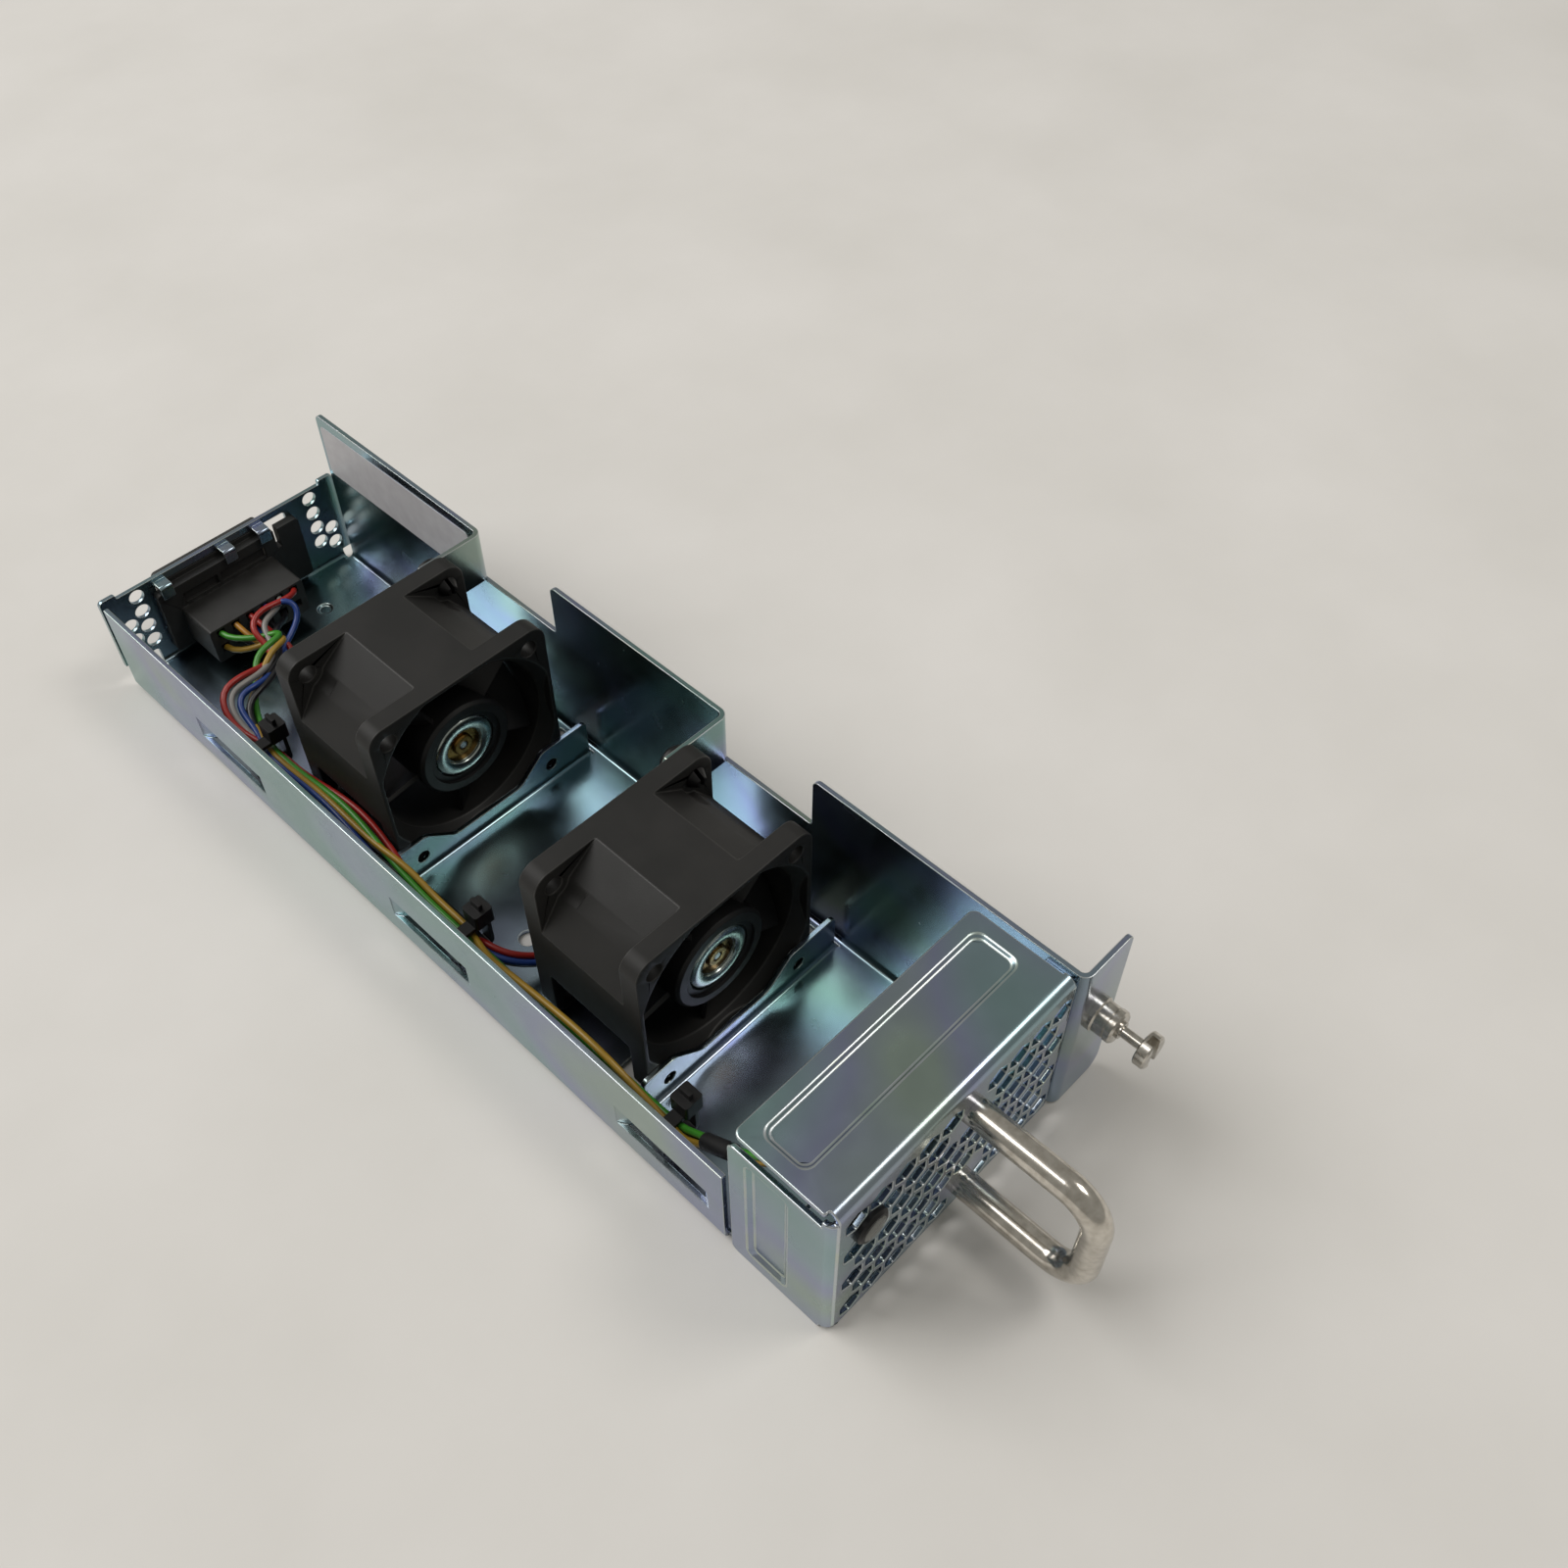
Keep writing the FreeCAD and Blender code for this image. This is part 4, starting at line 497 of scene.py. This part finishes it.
wires = {
    "frontFanRed": {
        "colour": "red", "nodes": frontFanNodes, "turn": (14, -75), "out": 1.7,
        "lead": "fanLeads", "leadAngle": 60, "leadRadius": 0.92,
        "loose": [(35.05, 188.5, 11.45), (34.6, 186.6, 12.4), (30.5, 184.6, 14.0), (26.5, 185.2, 14.6),
                  (22.8, 184.6, 14.2), (20.9, 182.0, 13.0), (22.2, 178.6, 10.6), (20.0, 175.0, 10.5),
                  (15.5, 172.5, 13.5), (11.0, 171.6, 15.2), (6.6, 171.5, 14.4), (4.3, 167.5, 12.4),
                  (4.6, 162.5, 10.4)]},
    "frontFanBlue": {
        "colour": "blue", "nodes": frontFanNodes, "turn": (122, 215), "out": 0.3,
        "lead": "fanLeads", "leadAngle": 150, "leadRadius": 0.92,
        "loose": [(27.85, 188.5, 11.45), (27.9, 186.8, 12.4), (29.4, 185.4, 14.2), (32.0, 183.6, 13.8),
                  (31.6, 181.2, 11.6), (27.5, 179.5, 9.4), (22.0, 176.5, 9.0), (17.5, 171.0, 11.5),
                  (13.0, 168.8, 13.4), (9.3, 169.6, 13.0), (7.2, 167.0, 11.6), (7.2, 162.0, 10.0)]},
    "frontFanGrey": {
        "colour": "grey", "nodes": frontFanNodes, "turn": (-25, -130), "out": 1.9,
        "lead": "fanLeads", "leadAngle": 240, "leadRadius": 0.92,
        "loose": [(31.45, 188.5, 11.45), (31.0, 186.8, 12.2), (27.5, 184.0, 13.2), (24.2, 183.4, 13.2),
                  (22.9, 180.8, 12.0), (22.8, 177.6, 10.6), (17.5, 171.8, 12.6), (12.0, 170.3, 14.2),
                  (8.0, 170.6, 13.8), (5.8, 167.6, 12.2), (5.4, 162.5, 10.4)]},
    "frontFanBlack": {
        "colour": "black", "nodes": frontFanNodes, "turn": (-90, 10), "out": 0.4,
        "lead": "fanLeads", "leadAngle": 330, "leadRadius": 0.92,
        "loose": [(31.45, 188.5, 7.45), (30.5, 185.5, 8.5), (26.5, 182.0, 11.6), (24.0, 179.8, 11.8),
                  (23.6, 177.0, 9.8), (18.5, 170.6, 11.6), (13.5, 168.2, 12.6), (9.6, 167.6, 11.8),
                  (7.8, 164.6, 10.6), (7.0, 160.5, 9.4)]},
    "lightGreen": {
        "colour": "green", "nodes": lightNodes, "turn": (58, 118), "out": 1.0,
        "lead": "lightLeads", "leadAngle": 70, "leadRadius": 0.75,
        "loose": [(17.05, 188.5, 11.45), (17.2, 186.4, 11.4), (19.3, 183.2, 11.8), (22.4, 181.2, 11.6),
                  (25.0, 179.4, 12.4), (24.6, 177.0, 13.6), (20.6, 176.2, 14.0), (17.0, 175.6, 13.2),
                  (14.6, 172.2, 11.4), (11.2, 168.6, 9.6), (9.0, 164.0, 9.0)]},
    "lightYellow": {
        "colour": "yellow", "nodes": lightNodes, "turn": (92, 58), "out": 0.4, "hop": 1.2,
        "loose": [(17.05, 188.5, 7.45), (17.3, 186.0, 7.6), (19.4, 182.0, 9.6), (23.0, 179.6, 11.0),
                  (25.4, 177.6, 12.0), (24.0, 175.6, 13.2), (20.4, 174.8, 13.4), (16.8, 172.6, 12.4),
                  (11.0, 169.0, 10.6), (8.2, 166.6, 10.4), (7.4, 162.0, 9.8)],
        "ownLead": [(4.2, 86.0, 12.0), (3.2, 80.0, 16.0), (3.0, 70.0, 18.3), (3.0, 60.0, 19.8),
                    (3.0, 52.0, 19.4), (3.6, 45.0, 15.2), (4.4, 40.5, 11.8), (4.1, 37.0, 11.2),
                    (3.9, 34.6, 12.8), (4.4, 31.4, 15.2), (4.7, 28.0, 17.8), (4.8, 24.9, 20.2),
                    (5.1, 21.0, 22.9), (7.9, 13.3, 28.7), (7.9, 7.0, 28.7)]},
    "lightBlack": {
        "colour": "black", "nodes": lightNodes, "turn": (215, 285), "out": 0.2,
        "lead": "lightLeads", "leadAngle": 310, "leadRadius": 0.75,
        "loose": [(20.65, 188.5, 7.45), (20.8, 185.0, 7.8), (22.6, 181.0, 9.2), (24.0, 177.5, 10.0),
                  (21.0, 173.8, 11.4), (16.5, 171.2, 12.0), (12.4, 169.2, 11.6), (9.2, 167.8, 10.0),
                  (7.9, 163.5, 9.0)]},
    "rearFanRed": {
        "colour": "red", "nodes": ["rear_fan_leads"],
        "loose": [(24.25, 188.5, 11.45), (24.4, 186.0, 11.2), (25.6, 181.5, 9.0), (25.8, 177.0, 9.6),
                  (24.0, 172.0, 7.6), (21.5, 163.0, 5.6), (18.0, 153.5, 4.2), (17.2, 145.8, 4.4)]},
    "rearFanBlue": {
        "colour": "blue", "nodes": ["rear_fan_leads"],
        "loose": [(24.25, 188.5, 7.45), (24.3, 185.0, 7.4), (24.8, 179.5, 8.6), (23.8, 174.8, 9.6),
                  (22.0, 168.0, 6.6), (19.5, 160.5, 5.2), (16.9, 152.8, 3.9), (16.2, 145.8, 3.6)]},
    "rearFanOrange": {
        "colour": "orange", "nodes": ["rear_fan_leads"],
        "loose": [(20.65, 188.5, 11.45), (20.8, 186.0, 11.0), (22.0, 180.5, 8.6), (22.4, 175.0, 8.8),
                  (21.0, 168.0, 6.0), (18.6, 160.5, 4.6), (16.2, 152.5, 3.0), (16.8, 145.8, 3.0)]},
    "rearFanBlack": {
        "colour": "black", "nodes": ["rear_fan_leads"],
        "loose": [(27.85, 188.5, 7.45), (27.6, 185.0, 7.2), (26.6, 179.0, 7.0), (24.4, 172.5, 6.2),
                  (21.8, 164.5, 4.8), (18.8, 155.5, 3.2), (18.0, 145.8, 3.8)]},
}
insulation = {word: makeInsulation("pvc" + word.capitalize() + "Wire", shade, pvcSkin)
              for word, shade in wiring["colours"].items()}


def addSpline(data, points, order, steps):
    data.dimensions = "3D"
    data.resolution_u = steps
    spline = data.splines.new("NURBS")
    spline.points.add(len(points) - 1)
    for point, spot in zip(spline.points, points):
        point.co = (*spot, 1.0)
    spline.order_u = order
    spline.use_endpoint_u = True


# Smooth centre line of a route, read from a spline that has the route's points as its controls
def centreLine(route):
    data = bpy.data.curves.new("routeLine", "CURVE")
    addSpline(data, [place(*spot) for spot in route], order=3, steps=4)
    line = addObject("routeLine", data)
    mesh = bpy.data.meshes.new_from_object(line)
    points = [vertex.co.copy() for vertex in mesh.vertices]
    bpy.data.objects.remove(line)
    bpy.data.curves.remove(data)
    bpy.data.meshes.remove(mesh)
    return points


# Points beside a centre line: "reach" gives each point's distance and angle, from its share of the way
# and its place along the tray
def beside(centre, reach):
    points = []
    side = Vector((0, 0, 1))
    for index, spot in enumerate(centre):
        ahead = centre[min(index + 1, len(centre) - 1)] - centre[max(index - 1, 0)]
        ahead.normalize()
        side = (side - ahead * side.dot(ahead)).normalized()
        across = side.cross(ahead)
        radius, angle = reach(index / (len(centre) - 1), drawingY(spot))
        points.append(spot + (across * math.cos(angle) + side * math.sin(angle)) * radius / 1000)
    return points


def smoothStep(low, high, value):
    share = min(max((value - low) / (high - low), 0.0), 1.0)
    return share * share * (3 - 2 * share)


def hump(facts, y):
    return math.exp(-((y - facts["at"]) / facts["reach"]) ** 2)


def boundPoints(wire):
    centre = [spot for spot in centreLine(wiring["bound"])
              if wiring["boundTo"] <= drawingY(spot) <= wiring["boundFrom"]]
    first, last = wire["turn"]

    def reach(share, y):
        radius = wiring["boundRadius"] + wire["out"] * hump(wiring["spread"], y)
        radius += wire.get("hop", 0.0) * hump(wiring["hop"], y)
        return radius, math.radians(first + (last - first) * smoothStep(*wiring["drift"], share))

    points = beside(centre, reach)
    for point in points:
        point.z += wiring["lift"]["height"] / 1000 * hump(wiring["lift"], drawingY(point))
    return points


def wirePoints(wire):
    points = [place(*spot) for spot in wire["loose"]]
    if "turn" in wire:
        points += boundPoints(wire)
    if "ownLead" in wire:
        points += [place(*spot) for spot in wire["ownLead"]]
    if "lead" in wire:
        turn = math.radians(wire["leadAngle"])
        points += beside(centreLine(wiring[wire["lead"]]), lambda share, y: (wire["leadRadius"], turn))
    return points


def addWire(name, points, thickness, material):
    data = bpy.data.curves.new(name, "CURVE")
    data.bevel_depth = thickness / 2000  # a radius, in metres
    data.bevel_resolution = 2
    data.use_fill_caps = True
    addSpline(data, points, order=4, steps=3)
    makeActive(addObject(name, data))
    bpy.ops.object.convert(target="MESH")
    wire = bpy.context.object
    dress(wire.data, material)
    bpy.ops.object.shade_smooth()
    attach(wire, "tray")
    return wire


for wireName, wire in wires.items():
    piece = addWire(wireName, wirePoints(wire), wiring["thickness"], insulation[wire["colour"]])
    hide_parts(*wire["nodes"])
print("wires made:", len(wires))


# The captive screw's spring: a copy of its node with the spring steel finish, fixed where it lies
coilSpring = {"node": "screw_spring", "finish": "springSteel", "rearBody": "tray",
              "frontBody": "ring_slider"}


def addSpring(size):
    node = frame["nodes"][size["node"]]
    piece = addObject(size["node"] + "_coil", node.data.copy())
    dress(piece.data, finishes[size["finish"]])
    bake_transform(piece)
    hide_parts(size["node"])
    return piece


spring = addSpring(coilSpring)
print("spring made:", len(spring.data.polygons), "faces")


# Round pieces, by their profile: each point is a radius and a place along the axis, in mm from the front
cupShoulder = [(3.9, 0.0), (3.95, -0.45), (4.2, -0.7), (5.6, -0.72), (6.2, -0.62), (6.55, -0.36), (6.7, 0.0)]
turnedPieces = {
    "frontCupShoulder": {"node": "front_fan_rotor_yoke", "finish": "rotorSteel", "profile": cupShoulder},
    "rearCupShoulder": {"node": "rear_fan_rotor_yoke", "finish": "rotorSteel", "profile": cupShoulder},
    "lightLensDisc": {"node": "led_holder", "finish": "smokeLens",
                      "profile": [(0.0, -0.34), (1.5, -0.3), (2.1, -0.2), (2.35, -0.05), (2.35, 0.15)]},
}
turning = {"steps": 72, "weld": 0.005, "smooth": 50}  # around the circle, in mm, and in degrees


# Spins a profile round a node's own axis, which runs from its front to its rear
def addTurned(name, size):
    node = frame["nodes"][size["node"]]
    corners = [node.matrix_world @ vertex.co for vertex in node.data.vertices]
    low = Vector([min(corner[axis] for corner in corners) for axis in range(3)])
    high = Vector([max(corner[axis] for corner in corners) for axis in range(3)])
    middle = (low + high) / 2
    points = [(middle.x + radius / 1000, low.y + along / 1000, middle.z)
              for radius, along in size["profile"]]
    mesh = bpy.data.meshes.new(name)
    mesh.from_pydata(points, [(index, index + 1) for index in range(len(points) - 1)], [])
    piece = addObject(name, mesh)
    makeActive(piece)
    bpy.ops.object.mode_set(mode="EDIT")
    bpy.ops.mesh.select_all(action="SELECT")
    bpy.ops.mesh.spin(steps=turning["steps"], angle=2 * math.pi, center=(middle.x, low.y, middle.z),
                      axis=(0, 1, 0))
    bpy.ops.mesh.select_all(action="SELECT")
    bpy.ops.mesh.remove_doubles(threshold=turning["weld"] / 1000)
    bpy.ops.mesh.normals_make_consistent(inside=False)
    bpy.ops.object.mode_set(mode="OBJECT")
    bpy.ops.object.shade_smooth_by_angle(angle=math.radians(turning["smooth"]))
    dress(piece.data, finishes[size["finish"]])
    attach(piece, node["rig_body"])
    return piece


for pieceName, size in turnedPieces.items():
    turned = addTurned(pieceName, size)
    print("turned:", pieceName, len(turned.data.polygons), "faces")


# An upright block between two corners given as on the drawing
def addBlock(low, high):
    deselectAll()
    bpy.ops.mesh.primitive_cube_add(size=1, location=(low + high) / 2)
    block = bpy.context.object
    block.scale = high - low
    bpy.ops.object.transform_apply(location=True, rotation=True, scale=True)
    return block


# Contact pins with chamfered edges, in two rows in the plug's mouth
plugPins = {"columns": 6, "rows": 2, "firstColumn": 17.05, "pitch": 3.6, "firstRow": 9.45, "rowPitch": 4.0,
            "side": 0.9, "front": 199.97, "rear": 203.5, "chamfer": 0.25}


def addPins(size):
    pins = []
    half = size["side"] / 2
    for column in range(size["columns"]):
        for row in range(size["rows"]):
            x = size["firstColumn"] + column * size["pitch"]
            z = size["firstRow"] + row * size["rowPitch"]
            pins.append(addBlock(place(x - half, size["front"], z - half),
                                 place(x + half, size["rear"], z + half)))
            bpy.ops.object.mode_set(mode="EDIT")
            bpy.ops.mesh.select_all(action="SELECT")
            bpy.ops.mesh.bevel(offset=size["chamfer"] / 1000, segments=1)
            bpy.ops.object.mode_set(mode="OBJECT")
    deselectAll()
    for pin in pins:
        pin.select_set(True)
    bpy.context.view_layer.objects.active = pins[0]
    bpy.ops.object.join()
    joined = bpy.context.object
    joined.name = "plugPins"
    dress(joined.data, finishes["contactGold"])
    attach(joined, "tray")
    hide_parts("connector_contacts")


addPins(plugPins)
print("plug pins made:", plugPins["columns"] * plugPins["rows"])

# Dark plastic webs at the back of the plug's two windows, put there as painted shade to darken them, and the
# sill in front of the upper contacts
plugShadeWebs = [{"left": 16.4, "right": 36.1, "low": 13.5, "high": 16.2, "front": 199.7, "rear": 200.0},
            {"left": 16.4, "right": 36.1, "low": 13.02, "high": 13.95, "front": 199.02, "rear": 199.95}]


# Each web is a dark block of the plug's plastic, a painted shade in the window behind it
def addShadeWeb(size):
    web = addBlock(place(size["left"], size["front"], size["low"]),
                   place(size["right"], size["rear"], size["high"]))
    web.name = "plugShadeWeb"
    dress(web.data, finishes["plugPlastic"])
    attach(web, "tray")


for size in plugShadeWebs:
    addShadeWeb(size)
print("plug webs made:", len(plugShadeWebs))


# Bare label on the inner face of the rear tab
rearLabel = {"rear": 198.3, "front": 149.3, "low": 25.5, "high": 38.0, "innerFace": 56.0, "thickness": 0.12,
             "corner": 1.2, "cornerSteps": 5}


def addLabel(size):
    deselectAll()
    middle = place(size["innerFace"], (size["rear"] + size["front"]) / 2, (size["low"] + size["high"]) / 2)
    bpy.ops.mesh.primitive_plane_add(size=1, location=middle, rotation=(0, -math.pi / 2, 0))
    label = bpy.context.object
    label.name = "bareLabel"
    label.scale = ((size["high"] - size["low"]) / 1000, (size["rear"] - size["front"]) / 1000, 1)
    bpy.ops.object.transform_apply(location=True, rotation=True, scale=True)
    bpy.ops.object.mode_set(mode="EDIT")
    bpy.ops.mesh.select_all(action="SELECT")
    bpy.ops.mesh.bevel(affect="VERTICES", offset=size["corner"] / 1000, segments=size["cornerSteps"])
    bpy.ops.mesh.select_all(action="SELECT")
    inward = (-size["thickness"] / 1000, 0, 0)
    bpy.ops.mesh.extrude_region_move(TRANSFORM_OT_translate={"value": inward})
    bpy.ops.mesh.select_all(action="SELECT")
    bpy.ops.mesh.normals_make_consistent(inside=False)
    bpy.ops.object.mode_set(mode="OBJECT")
    dress(label.data, finishes["labelStock"])
    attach(label, "tray")


addLabel(rearLabel)
print("label made")


# Floor: matte pale paper, faintly mottled in patches of about 70 mm. Its side is in metres
paperSheet = {"side": 6, "patchScale": 14.0, "tints": [(0.3, "#d6d4d0"), (0.7, "#dedcd9")],
              "roughness": 0.85, "specular": 0.2}


def makePaper(name, recipe):
    material, tree, spot = newMaterial(name)
    patch = addNode(tree, "ShaderNodeTexNoise", {
        "Vector": spot, "Scale": recipe["patchScale"], "Detail": 6.0, "Roughness": 0.55})
    tint = addNode(tree, "ShaderNodeValToRGB", {"Fac": patch.outputs["Fac"]}, stops=recipe["tints"])
    shader = addNode(tree, "ShaderNodeBsdfPrincipled", {
        "Base Color": tint.outputs["Color"], "Roughness": recipe["roughness"],
        "Specular IOR Level": recipe["specular"]})
    addNode(tree, "ShaderNodeOutputMaterial", {"Surface": shader.outputs["BSDF"]})
    return material


deselectAll()
bpy.ops.mesh.primitive_plane_add(size=paperSheet["side"], location=(0, 0, cadBox[0][2]))
floor = bpy.context.object
floor.name = "paperFloor"
dress(floor.data, makePaper("paleFloorPaper", paperSheet))

# Lamps: a broad window light at the rear left, a ceiling panel a little to the right, and a dim warm room.
# Places and sizes are in metres, and the lamps aim at the middle of the tray
lamps = {
    "window": {"at": (-0.75, 1.05, 1.6), "size": 1.6, "power": 31.0, "tint": "#fffdfb"},
    "ceilingPanel": {"at": (0.62, -0.55, 1.25), "size": 0.45, "power": 4.0, "tint": "#fffaf4"},
}
lampAim = (0, 0, 0.02)
room = {"shade": "#c9c7c0", "strength": 0.52}


def addLamp(name, facts):
    data = bpy.data.lights.new(name, "AREA")
    data.size = facts["size"]
    data.energy = facts["power"]
    data.color = colour(facts["tint"])[:3]
    lamp = addObject(name, data)
    at = Vector(facts["at"])
    turn = (Vector(lampAim) - at).to_track_quat("-Z", "Y")
    lamp.matrix_world = Matrix.Translation(at) @ turn.to_matrix().to_4x4()


for lampName, facts in lamps.items():
    addLamp(lampName, facts)
world = bpy.data.worlds.new("room")
world.use_nodes = True
background = world.node_tree.nodes["Background"]
background.inputs["Color"].default_value = colour(room["shade"])
background.inputs["Strength"].default_value = room["strength"]
bpy.context.scene.world = world
bpy.context.scene.view_settings.view_transform = "Standard"
print("floor and lamps set")

deselectAll()
